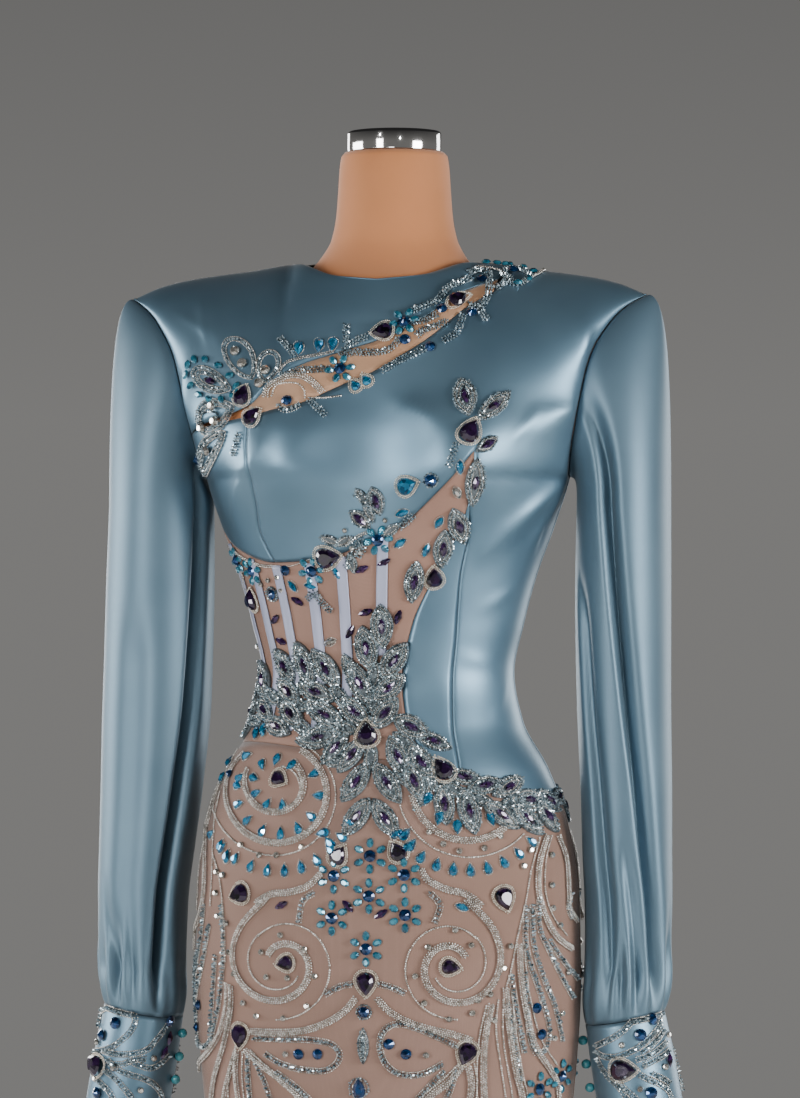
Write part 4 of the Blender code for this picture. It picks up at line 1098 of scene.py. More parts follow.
def gemLook(name, colour, deep, roughness, metallic, clusters, coat=1.0):
    # foil-backed glass: the colour runs from deep to bright cell by cell, painted glints where bright and painted
    # shade where deep, standing in for facets that catch the lamps
    def build(tree):
        return {
            "Base Color": blendColour(tree, speckles(tree, clusters), rgba(deep), rgba(colour)),
            "Roughness": roughness + 0.05 * noise(tree, place(tree), 700.0),
        }
    return newMaterial(name, {"Metallic": metallic, "Coat Weight": coat, "Coat Roughness": 0.03, "IOR": 1.7},
                       build)


def beadLook(name, colour, dark, roughness, metallic, grain=520.0):
    # small beads: some clean, some duller
    def build(tree):
        share = speckles(tree, grain)
        return {
            "Base Color": blendColour(tree, share, rgba(dark), rgba(colour)),
            "Roughness": roughness + 0.12 * (share - 0.5),
        }
    return newMaterial(name, {"Metallic": metallic, "Coat Weight": 0.4, "Coat Roughness": 0.08}, build)


looks.update({
    "silver": beadLook("silverBead", (0.95, 0.92, 0.86), (0.30, 0.275, 0.24), 0.20, 0.55, 480.0),
    "netting": beadLook("silverNetting", (0.13, 0.16, 0.175), (0.045, 0.058, 0.066), 0.5, 0.2, 900.0),
    "cream": beadLook("creamBead", (0.86, 0.80, 0.69), (0.56, 0.50, 0.41), 0.30, 0.30),
    "ice": gemLook("iceCrystal", (0.62, 0.74, 0.79), (0.035, 0.070, 0.090), 0.12, 0.6, 470.0),
    "clear": gemLook("clearStone", (0.92, 0.91, 0.86), (0.30, 0.28, 0.24), 0.06, 0.85, 300.0),
    "teal": gemLook("tealStone", (0.03, 0.34, 0.58), (0.004, 0.07, 0.16), 0.07, 0.6, 330.0),
    "lagoon": gemLook("lagoonOval", (0.07, 0.34, 0.46), (0.010, 0.09, 0.15), 0.12, 0.5, 300.0),
    "sapphire": gemLook("sapphireRivoli", (0.010, 0.085, 0.26), (0.002, 0.012, 0.05), 0.06, 0.7, 300.0),
    "plum": gemLook("plumStone", (0.022, 0.006, 0.040), (0.001, 0.001, 0.002), 0.04, 0.25, 220.0, 0.7),
    "plumSmall": gemLook("plumMarquise", (0.055, 0.014, 0.095), (0.003, 0.001, 0.006), 0.05, 0.35, 300.0, 0.8),
    "turquoise": beadLook("turquoise", (0.06, 0.30, 0.34), (0.03, 0.20, 0.24), 0.15, 0.0, 90.0),
})


# Cut stones and beads, one unit across, standing on their flat backs

def outline(shape, count):
    # x across and y along, from -0.5 to 0.5, with a pear's or a petal's tip at +y
    a = 2 * np.pi * np.arange(count) / count
    if shape in ("pear", "petal"):
        pinch = {"pear": 0.95, "petal": 0.45}[shape]
        x = np.sin(a) * np.abs(np.sin(a / 2))**pinch
        return np.stack([0.5 * x / np.abs(x).max(), 0.5 * np.cos(a)], -1)
    if shape == "leaf":
        y = np.cos(a)
        return np.stack([0.5 * np.sign(np.sin(a)) * (1 - y * y)**0.82, 0.5 * y], -1)
    return np.stack([0.5 * np.sin(a), 0.5 * np.cos(a)], -1)


stoneCuts = {
    # outline, sides, rings up the stone as height and width
    "round": ("round", 10, [(0.0, 0.62), (0.35, 1.0), (0.70, 0.84), (1.0, 0.52)]),
    "rivoli": ("round", 12, [(0.0, 0.70), (0.25, 1.0), (0.62, 0.60), (1.0, 0.04)]),
    "pear": ("pear", 14, [(0.0, 0.70), (0.30, 1.0), (0.62, 0.88), (1.0, 0.58)]),
    "drop": ("pear", 10, [(0.0, 0.70), (0.35, 1.0), (1.0, 0.50)]),
    "oval": ("round", 8, [(0.0, 0.66), (0.40, 1.0), (1.0, 0.55)]),
    "marquise": ("leaf", 8, [(0.0, 0.62), (0.40, 1.0), (1.0, 0.45)]),
    "cut": ("round", 6, [(0.0, 0.95), (1.0, 0.50)]),
}


def stoneTemplate(name, cut):
    shape, count, rings = stoneCuts[cut]
    cage = bmesh.new()
    flat = outline(shape, count)
    rows = [[cage.verts.new((x * wide, y * wide, height)) for x, y in flat] for height, wide in rings]
    for low, high in zip(rows, rows[1:]):
        for i in range(count):
            j = (i + 1) % count
            cage.faces.new((low[i], low[j], high[j]))
            cage.faces.new((low[i], high[j], high[i]))
    cage.faces.new(rows[0][::-1])
    cage.faces.new(rows[-1])
    bmesh.ops.remove_doubles(cage, verts=cage.verts, dist=1e-6)
    bmesh.ops.triangulate(cage, faces=cage.faces)
    bmesh.ops.recalc_face_normals(cage, faces=cage.faces)
    return templateObject(name, cage)


def beadTemplate(name, fine):
    cage = bmesh.new()
    if fine:
        bmesh.ops.create_icosphere(cage, subdivisions=1, radius=0.5)
    else:
        bmesh.ops.create_uvsphere(cage, u_segments=4, v_segments=2, radius=0.56)
    for face in cage.faces:
        face.smooth = True
    return templateObject(name, cage)


def templateObject(name, cage):
    made = bpy.data.objects.new(name, finished(cage, name, smooth=False))
    templates.objects.link(made)
    return made


templates = bpy.data.collections.new("templates")
bpy.context.scene.collection.children.link(templates)
cuts = {cut: stoneTemplate(cut + "Cut", cut) for cut in stoneCuts}
cuts["seed"] = beadTemplate("seedBead", False)
cuts["ball"] = beadTemplate("ballBead", True)
print("stones cut")


# Places on the cloth

# the photograph's frame, at the gown's axis, which is seen at this many pixels across
picture = {"wide": 800, "tall": 1098, "metresPerPixel": 0.00093, "middle": 388}
# the search for a place: rounds, first guess, and the longest step in degrees and in metres
search = {"rounds": 16, "edge": 0.94, "lean": 0.8, "lowest": 0.05, "highest": 1.39, "turn": 10, "climb": 0.03}


def inPicture(points):
    turn = math.radians(view["turn"])
    ahead = np.array([-math.sin(turn), math.cos(turn), 0])
    aside = np.array([math.cos(turn), math.sin(turn), 0])
    eye = -view["distance"] * ahead + view["aside"] * aside + np.array([0, 0, view["height"]])
    way = points - eye
    scale = view["lens"] / view["sensor"] * picture["tall"] / (way @ ahead)
    return np.stack([picture["wide"] / 2 + scale * (way @ aside), picture["tall"] / 2 - scale * way[..., 2]], -1)


def gownAll(turn, level):
    turn = (np.asarray(turn, float) + 180) % 360 - 180
    behind = (np.abs(turn) > 90)[..., None]
    points = np.where(behind, gown(turn, level, True), gown(turn, level))
    return np.where((level < gownSize["knee"])[..., None], flouncePoint(turn % 360, level), points)


def cuffGround(side):
    way = -1 if side == "L" else 1
    ends = (way * 8, way * 172)
    return {"point": lambda u, v: cuffPoint(side, way * u, -v), "du": 0.5, "dv": 0.0005,
            "start": (way * 90, -0.04), "low": (min(ends), -0.114), "high": (max(ends), -0.001)}


grounds = {
    "gown": {"point": gownAll, "du": 0.4, "dv": 0.0008, "start": None, "low": (-89.5, 0.012),
             "high": (89.5, 1.4045)},
    "cuffR": cuffGround("R"), "cuffL": cuffGround("L"),
}
grounds["back"] = grounds["gown"]


def frameAt(places, on="gown"):
    # position, unit vectors to the right, up the cloth and out of it, and metres a step of each coordinate
    ground = grounds[on]
    u, v = places[..., 0], places[..., 1]
    du, dv = ground["du"], ground["dv"]
    aside = ground["point"](u + du, v) - ground["point"](u - du, v)
    high = ground["point"](u, v + dv) - ground["point"](u, v - dv)
    wide = np.linalg.norm(aside, axis=-1, keepdims=True)
    tall = np.linalg.norm(high, axis=-1, keepdims=True)
    out = np.cross(aside, high)
    out /= np.linalg.norm(out, axis=-1, keepdims=True)
    steps = np.concatenate([wide / 2 / du, tall / 2 / dv], -1)
    return ground["point"](u, v), aside / wide, high / tall, out, steps


def crossed(a, b):
    return a[:, 0] * b[:, 1] - a[:, 1] * b[:, 0]


def seen(points, on="gown"):
    # places on the cloth that lie behind points of the photograph's frame
    if on == "back":
        # the same places on the back, as if the front were seen through the gown
        front = seen(points)
        return np.stack([180 - front[..., 0], front[..., 1]], -1)
    ground = grounds[on]
    points = np.asarray(points, float).reshape(-1, 2)
    if ground["start"]:
        places = np.tile(np.array(ground["start"], float), (len(points), 1))
    else:
        level = view["height"] + (picture["tall"] / 2 - points[:, 1]) * picture["metresPerPixel"]
        level = np.clip(level, search["lowest"], search["highest"])
        aside = (points[:, 0] - picture["middle"]) * picture["metresPerPixel"]
        half = np.where(level < gownSize["knee"], flounceHalf(level), halfWidth(level))
        turn = np.degrees(np.arcsin(np.clip(aside / half, -search["edge"], search["edge"])))
        places = np.stack([turn + view["turn"] * search["lean"], level], -1)
    low, high = np.array(ground["low"]), np.array(ground["high"])
    for _ in range(search["rounds"]):
        here = inPicture(ground["point"](places[:, 0], places[:, 1]))
        acrossStep = (inPicture(ground["point"](places[:, 0] + ground["du"], places[:, 1])) - here) / ground["du"]
        upStep = (inPicture(ground["point"](places[:, 0], places[:, 1] + ground["dv"])) - here) / ground["dv"]
        miss, area = points - here, crossed(acrossStep, upStep)
        area = np.where(np.abs(area) < 1e-6, 1e-6, area)
        step = np.stack([np.clip(crossed(miss, upStep) / area, -search["turn"], search["turn"]),
                         np.clip(crossed(acrossStep, miss) / area, -search["climb"], search["climb"])], -1)
        places = np.clip(places + step, low, high)
    return places


def smoothLine(points, steps=6):
    # a smooth line through a few points
    points = np.asarray(points, float)
    ends = np.concatenate([points[:1], points, points[-1:]])
    t = (np.arange(steps) / steps)[:, None]
    spans = [0.5 * (2 * b + (c - a) * t + (2 * a - 5 * b + 4 * c - d) * t * t + (3 * b - a - 3 * c + d) * t**3)
             for a, b, c, d in zip(ends, ends[1:], ends[2:], ends[3:])]
    return np.concatenate(spans + [points[-1:]])


def scroll(centre, start, end, fromRadius, toRadius, ease=1.0, steps=40):
    # a spiral or an arc in the photograph's frame: degrees round from the right, radii in metres
    share = np.linspace(0, 1, steps)
    angle = np.radians(start + (end - start) * share)
    radius = (fromRadius + (toRadius - fromRadius) * share**ease) / picture["metresPerPixel"]
    return np.stack([centre[0] + radius * np.cos(angle), centre[1] - radius * np.sin(angle)], -1)


# Sewing beads and stones on

beadKinds = {
    # strands, pitch along, spacing across, dome, bead size, lift, tumble, bead, look
    "rope": (4, 0.00235, 0.00165, 0.0026, 0.00215, 0.0010, 0.0, "seed", "silver"),
    "thinRope": (2, 0.00215, 0.00175, 0.0010, 0.00200, 0.0010, 0.0, "seed", "silver"),
    "chain": (1, 0.00220, 0.0, 0.0, 0.00220, 0.0010, 0.0, "ball", "silver"),
    "gemRope": (2, 0.00175, 0.00160, 0.0, 0.00170, 0.0012, 0.0, "seed", "cream"),
    "fineEdge": (1, 0.00160, 0.0, 0.0, 0.00135, 0.0007, 0.0, "seed", "silver"),
    "iceLine": (1, 0.00250, 0.0, 0.0, 0.00250, 0.0005, 0.5, "cut", "ice"),
    "iceRow": (1, 0.00340, 0.0, 0.0, 0.00350, 0.0006, 0.5, "cut", "ice"),
    "iceRails": (2, 0.00190, 0.00500, 0.0, 0.00165, 0.0008, 0.0, "seed", "silver"),
    "iceBand": (3, 0.00270, 0.00245, 0.0009, 0.00245, 0.0004, 0.5, "cut", "ice"),
    "seedLine": (1, 0.00170, 0.0, 0.0, 0.00155, 0.0009, 0.0, "seed", "silver"),
}
stoneKinds = {
    # width, length, height, cut, look, kind of beads round it
    "pear": (0.0165, 0.0205, 0.0062, "pear", "plum", "gemRope"),
    "tealPear": (0.0145, 0.0175, 0.0057, "pear", "teal", "gemRope"),
    "drop": (0.0078, 0.0122, 0.0040, "drop", "teal", "fineEdge"),
    "rhinestone": (0.0066, 0.0066, 0.0036, "round", "clear", None),
    "rivoli": (0.0100, 0.0100, 0.0044, "rivoli", "sapphire", None),
    "oval": (0.0068, 0.0092, 0.0034, "oval", "lagoon", None),
    "bareOval": (0.0066, 0.0095, 0.0034, "oval", "lagoon", None),
    "plumMarquise": (0.0068, 0.0145, 0.0036, "marquise", "plumSmall", None),
    "tealMarquise": (0.0066, 0.0130, 0.0034, "marquise", "teal", "fineEdge"),
    "clearMarquise": (0.0066, 0.0130, 0.0034, "marquise", "clear", "fineEdge"),
}
lines, stones, backings = {}, {}, {}
stoneLift = 0.0004
edgeGap = {"gemRope": 0.0016, "fineEdge": 0.0005}  # from a stone to the middle of the beads round it
leafSize = {
    "rows": [(0.0011, "iceLine"), (0.0027, "seedLine"), (0.0043, "iceLine"), (0.0058, "seedLine"),
             (0.0072, "iceLine")],
    # the narrowest row round a stone and without one, what the tips draw in, and lifts of beads and stone
    "roundGem": 0.006, "bare": 0.002, "tips": 2.6, "beadLift": 0.0005, "gemLift": 0.0008,
    # the cushion under it: share of its size, and height
    "cushion": [(0.02, 0.0009), (0.5, 0.0009), (0.9, 0.0007), (1.0, 0.0002), (1.0, -0.0001), (0.5, -0.0001),
                (0.02, -0.0001)],
}
petalSize = {"edge": 0.0006, "pitch": 0.0020, "tips": 2.2, "lift": 0.0004}
floretSize = {"petals": 6, "middle": 1.1, "middleLift": 0.0006, "petalLift": 0.0002}


def layBeads(group, kind, places, closed=False, lift=0.0, on="gown"):
    at, _, _, out, _ = frameAt(places, on)
    lines.setdefault((group, kind), []).append((at + out * (beadKinds[kind][5] + lift), out, closed))


def layIce(group, places, on="gown"):
    # a row of crystals between two rails of beads
    for kind in ("iceRow", "iceRails"):
        layBeads(group, kind, places, on=on)


def around(place, lean, shape, width, length, count=28, on="gown", grow=0.0):
    # places along an outline that lies round one place, its tip towards lean
    flat = outline(shape, count) * np.array([width + 2 * grow, length + 2 * grow])
    lean = math.radians(180 - lean if on == "back" else lean)
    dx = flat[:, 1] * math.cos(lean) + flat[:, 0] * math.sin(lean)
    dy = flat[:, 1] * math.sin(lean) - flat[:, 0] * math.cos(lean)
    size = frameAt(np.asarray(place, float), on)[4]
    return np.asarray(place, float) + np.stack([dx, dy], -1) / size


def setStone(group, kind, place, lean=90.0, scale=1.0, lift=0.0, on="gown", look=None):
    width, length, height, cut, _, edge = stoneKinds[kind]
    at, aside, high, out, _ = frameAt(np.asarray(place, float), on)
    tip = math.radians(180 - lean if on == "back" else lean)
    along = aside * math.cos(tip) + high * math.sin(tip)
    size = np.array([width, length, height]) * scale
    stones.setdefault((group, kind, look), []).append((at + out * (stoneLift + lift), out, along, size))
    if edge:
        layBeads(group, edge, around(place, lean, stoneCuts[cut][0], width * scale, length * scale, 24, on,
                                     edgeGap[edge]), True, lift, on)


def setStones(group, kind, points, lean=90.0, on="gown", **more):
    leans = lean if isinstance(lean, (list, tuple)) else [lean] * len(points)
    for place, one in zip(seen(points, on), leans):
        setStone(group, kind, place, one, on=on, **more)


def layRope(group, points, kind="rope", on="gown", lift=0.0):
    # a line of beads through points of the photograph's frame
    layBeads(group, kind, seen(smoothLine(points), on), lift=lift, on=on)


def layIceRope(group, points, on="gown"):
    layIce(group, seen(smoothLine(points), on), on)


def leaf(group, point, lean, length, width, gem="plumMarquise", lift=0.0, on="gown", place=None):
    # a leaf of rows of crystals with silver between, on a low cushion, and a stone in its middle
    size = leafSize
    here = seen([point], on)[0] if place is None else np.asarray(place, float)
    rings = []
    for share, rise in size["cushion"]:
        at, _, _, out, _ = frameAt(around(here, lean, "leaf", width * share, length * share, 24, on), on)
        rings.append(at + out * (rise + (lift if rise > 0 else 0)))
    backings.setdefault(group, []).append(rings)
    for inset, kind in size["rows"]:
        wide, long = width - 2 * inset, length - size["tips"] * inset
        if wide > (size["roundGem"] if gem else size["bare"]):
            ring = around(here, lean, "leaf", wide, long, 32, on)
            layBeads(group, kind, ring, True, lift + size["beadLift"], on)
    if gem:
        setStone(group, gem, here, lean, lift=lift + size["gemLift"], on=on)


def petal(group, point, lean, length, width, rows=2):
    # an open loop on the cloth: silver at its edge, then crystals and silver in turn
    here = seen([point])[0]
    for row, kind in enumerate(["seedLine", "iceLine", "seedLine", "iceLine", "seedLine"][:1 + 2 * rows]):
        inset = petalSize["edge"] + petalSize["pitch"] * row
        ring = around(here, lean, "petal", width - 2 * inset, length - petalSize["tips"] * inset, 40)
        layBeads(group, kind, ring, True, petalSize["lift"])


def floret(group, point, radius, on="gown", start=90.0):
    size, here = floretSize, seen([point], on)[0]
    setStone(group, "rivoli", here, 90, size["middle"], size["middleLift"], on)
    for i in range(size["petals"]):
        lean = start + 360 * i / size["petals"]
        way = np.array([math.cos(math.radians(lean)), math.sin(math.radians(lean))])
        setStone(group, "oval", here + way * radius / frameAt(here, on)[4], lean, 1.0, size["petalLift"], on)


def halo(group, point, radius, on="gown"):
    ring = around(seen([point], on)[0], 90, "round", 2 * radius, 2 * radius, 20, on)
    layBeads(group, "iceLine", ring, True, on=on)


def backingMesh(name, patches):
    cage = bmesh.new()
    for rings in patches:
        closeRings(cage, rings)
    bmesh.ops.recalc_face_normals(cage, faces=cage.faces)
    bmesh.ops.triangulate(cage, faces=cage.faces)
    return finished(cage, name)


def wireMesh(name, points, edges=(), **vectors):
    # points and edges, with the directions and sizes that the trees read
    mesh = bpy.data.meshes.new(name)
    mesh.from_pydata([tuple(point) for point in points], edges, [])
    for label, rows in vectors.items():
        mesh.attributes.new(label, "FLOAT_VECTOR", "POINT").data.foreach_set(
            "vector", np.concatenate(rows).ravel().astype(np.float32))
    return mesh


def pointMesh(name, rows):
    points, up, along, size = zip(*rows)
    return wireMesh(name, points, up=up, along=along, size=size)


def lineMesh(name, rows):
    points, edges, ups = [], [], []
    for at, out, closed in rows:
        first = len(points)
        points += list(at)
        edges += [(first + i, first + i + 1) for i in range(len(at) - 1)]
        if closed:
            edges.append((first + len(at) - 1, first))
        ups.append(out)
    return wireMesh(name, points, edges, up=ups)


def grow(name, group, mesh, tree, values, material):
    # runs one of the trees on a mesh and keeps the result as a plain mesh
    made = addObject(name, mesh, material)
    modifier = made.modifiers.new("grow", "NODES")
    modifier.node_group = trees[tree]
    for item in trees[tree].interface.items_tree:
        if item.in_out == "INPUT" and item.name in values:
            modifier[item.identifier] = values[item.name]
    applied(made)
    return rigid(made, "crystal_trim", *replaced.pop(group, []))


replaced = {
    "hip": ["trim_hip", "trim_hip_L"],
    "bodice": ["trim_chest_R", "trim_slash", "trim_neck_L", "trim_apex_L", "trim_edge_L", "trim_underbust"],
    "skirt": ["rope_" + kind + side for kind in ("ring_", "scroll_", "sweep_") for side in "LR"],
}


def beadName(group, kind):
    return group + kind[0].upper() + kind[1:]


def sewOn():
    seed = 0
    for group, patches in backings.items():
        name = group + "Backing"
        rigid(addObject(name, backingMesh(name, patches), looks["netting"]), "crystal_trim",
              *replaced.pop(group, []))
    for (group, kind), rows in lines.items():
        strands, pitch, spacing, dome, size, _, tumble, bead, look = beadKinds[kind]
        seed += 1
        grow(beadName(group, kind), group, lineMesh(kind, rows), "beads", {
            "Pitch": pitch, "Strands": strands, "Spacing": spacing, "Dome": dome, "Bead": cuts[bead],
            "Size": size, "Uneven": 0.12, "Tumble": tumble, "Seed": seed, "Material": looks[look]}, looks[look])
    for (group, kind, look), rows in stones.items():
        seed += 1
        finish = looks[look or stoneKinds[kind][4]]
        grow(beadName(group, kind) + (look or ""), group, pointMesh(kind, rows), "stones", {
            "Stone": cuts[stoneKinds[kind][3]], "Tumble": 0.07, "Seed": seed, "Material": finish}, finish)


# Hip spray and hip band

hipLeaves = [
    # seen across and down, lean, length, width
    (382, 626, 93, 0.038, 0.0185), (367, 648, 100, 0.038, 0.0185), (394, 660, 55, 0.036, 0.0185),
    (360, 683, 117, 0.044, 0.0185), (389, 688, 42, 0.035, 0.0180), (385, 714, 50, 0.034, 0.0175),
    (355, 712, 140, 0.038, 0.0180), (327, 668, 125, 0.040, 0.0185), (307, 665, 108, 0.042, 0.0180),
    (287, 666, 125, 0.036, 0.0180), (267, 680, 112, 0.038, 0.0170), (291, 692, 140, 0.034, 0.0170),
    (317, 692, 160, 0.040, 0.0175), (326, 715, 150, 0.044, 0.0185), (293, 714, 140, 0.036, 0.0170),
    (267, 710, 150, 0.032, 0.0160), (279, 727, 160, 0.034, 0.0160), (319, 738, 190, 0.042, 0.0190),
    (243, 710, 200, 0.024, 0.0140), (336, 748, 238, 0.034, 0.0150), (352, 755, 238, 0.036, 0.0160),
    (356, 782, 237, 0.040, 0.0180), (387, 783, 302, 0.040, 0.0180), (357, 817, 237, 0.038, 0.0175),
    (385, 818, 302, 0.038, 0.0175), (398, 757, 290, 0.038, 0.0180), (411, 727, 330, 0.034, 0.0190),
    (433, 741, 335, 0.032, 0.0150), (421, 762, 300, 0.036, 0.0210), (414, 781, 285, 0.034, 0.0160),
    (464, 777, 352, 0.032, 0.0140), (485, 785, 12, 0.034, 0.0145), (508, 787, 24, 0.036, 0.0160),
    (444, 804, 270, 0.036, 0.0170), (469, 811, 276, 0.040, 0.0190), (501, 815, 320, 0.038, 0.0170),
    (529, 800, 358, 0.040, 0.0190), (527, 819, 312, 0.038, 0.0180), (546, 816, 300, 0.034, 0.0170),
]


fillers = [
    # small leaves without a stone, between the others: seen across and down, lean
    (345, 728, 165), (303, 727, 150), (275, 697, 150), (309, 680, 120), (341, 697, 130), (373, 700, 95),
    (374, 676, 80), (256, 694, 130), (341, 760, 200), (300, 705, 165), (258, 722, 175), (371, 757, 265),
    (405, 742, 320), (430, 776, 280), (455, 790, 330), (480, 799, 340), (512, 803, 10), (540, 803, 330),
    (248, 728, 235), (330, 728, 175), (350, 668, 110), (402, 775, 300), (424, 792, 250),
]
hipSize = {
    # how much larger the leaves are than the table says, the lift of the lowest, and from one to the next
    "longer": 1.12, "wider": 1.16, "lift": 0.0006, "stepUp": 0.0007, "filler": (0.030, 0.0135),
    "fillerLift": 0.0002, "bones": 0.0019,
    # the band round the left side to the back seam
    "bandLeaves": 9, "bandFrom": 74, "bandStep": 12, "bandLeaf": (0.036, 0.0170), "bandLeans": (320, 10, 285),
}


def overBones(x, y):
    # leaves and twigs on the midriff lie on top of the bones
    return hipSize["bones"] if x < 405 and 555 < y < 738 else 0.0


def layHip():
    size = hipSize
    for x, y, lean in fillers:
        leaf("hip", (x, y), lean, *size["filler"], gem=None, lift=size["fillerLift"] + overBones(x, y))
    for i, (x, y, lean, length, width) in enumerate(hipLeaves):
        leaf("hip", (x, y), lean, length * size["longer"], width * size["wider"],
             lift=size["lift"] + size["stepUp"] * (i % 3) + overBones(x, y))
    for i in range(size["bandLeaves"]):
        turn = size["bandFrom"] + size["bandStep"] * i
        level = float(seams["hip"](turn)) + 0.006 * math.sin(i * 2.1)
        leaf("hip", None, size["bandLeans"][i % 3], *size["bandLeaf"], lift=size["lift"] * (i % 2),
             place=(turn, level))
    setStones("hip", "pear", [(368, 734)], 96, scale=1.12, lift=0.0045)
    setStones("hip", "pear", [(442, 769)], 115, scale=1.05, lift=0.002)
    setStones("hip", "plumMarquise", [(366, 612), (398, 617), (350, 632), (282, 641), (276, 619), (298, 601)],
              [20, 75, 60, 160, 35, 155])
    setStones("hip", "clearMarquise", [(330, 642)], 20)
    setStones("hip", "rhinestone", [(260, 646)])
    print("hip spray laid out")


# Bodice sprays

petals = [
    # seen across and down, lean, length, width, rows
    (241, 359, 295, 0.050, 0.031, 1), (268, 367, 253, 0.036, 0.024, 1), (211, 381, 335, 0.046, 0.025, 2),
    (213, 416, 18, 0.056, 0.034, 2), (208, 452, 32, 0.072, 0.027, 2),
]
twigs = [
    # short bands of crystals: points in the photograph's frame
    [(280, 338), (287, 346), (294, 355)], [(347, 325), (346, 342)], [(341, 355), (350, 345), (366, 337)],
    [(340, 357), (353, 353), (367, 353), (383, 352), (394, 346), (398, 340)],
    [(382, 371), (392, 365), (403, 359), (415, 354), (424, 349)],
    [(413, 311), (423, 307), (435, 302), (442, 295), (449, 287), (460, 283), (469, 279)],
    [(411, 322), (423, 321), (437, 315)], [(417, 336), (425, 330), (435, 327), (446, 322)],
    [(468, 273), (480, 271), (489, 275), (489, 285), (488, 296), (484, 304), (479, 309)],
    [(463, 315), (460, 325), (456, 334), (444, 341)], [(468, 305), (478, 308), (486, 320)],
    [(240, 434), (237, 444), (234, 454)], [(309, 400), (317, 408), (325, 415)],
    [(496, 289), (504, 284), (509, 278)],
    [(448, 466), (453, 455), (456, 444)], [(280, 377), (297, 371), (314, 370), (330, 369)],
    [(309, 598), (316, 592), (321, 599), (331, 610)], [(372, 493), (366, 503), (372, 512)],
    [(350, 540), (357, 547), (352, 557), (346, 566)], [(358, 536), (364, 546), (359, 555)],
    [(400, 527), (406, 522), (413, 515)], [(355, 493), (363, 498), (369, 507)],
]


bodiceLeaves = [
    # from the apex down the edge of the cut-out: seen across and down, lean, length, width
    (465, 397, 109, 0.037, 0.0200), (494, 406, 48, 0.036, 0.0180), (475, 482, 268, 0.042, 0.0180),
    (459, 526, 112, 0.035, 0.0180), (443, 549, 90, 0.034, 0.0170), (414, 582, 85, 0.036, 0.0170),
    (487, 444, 35, 0.022, 0.0120),
]


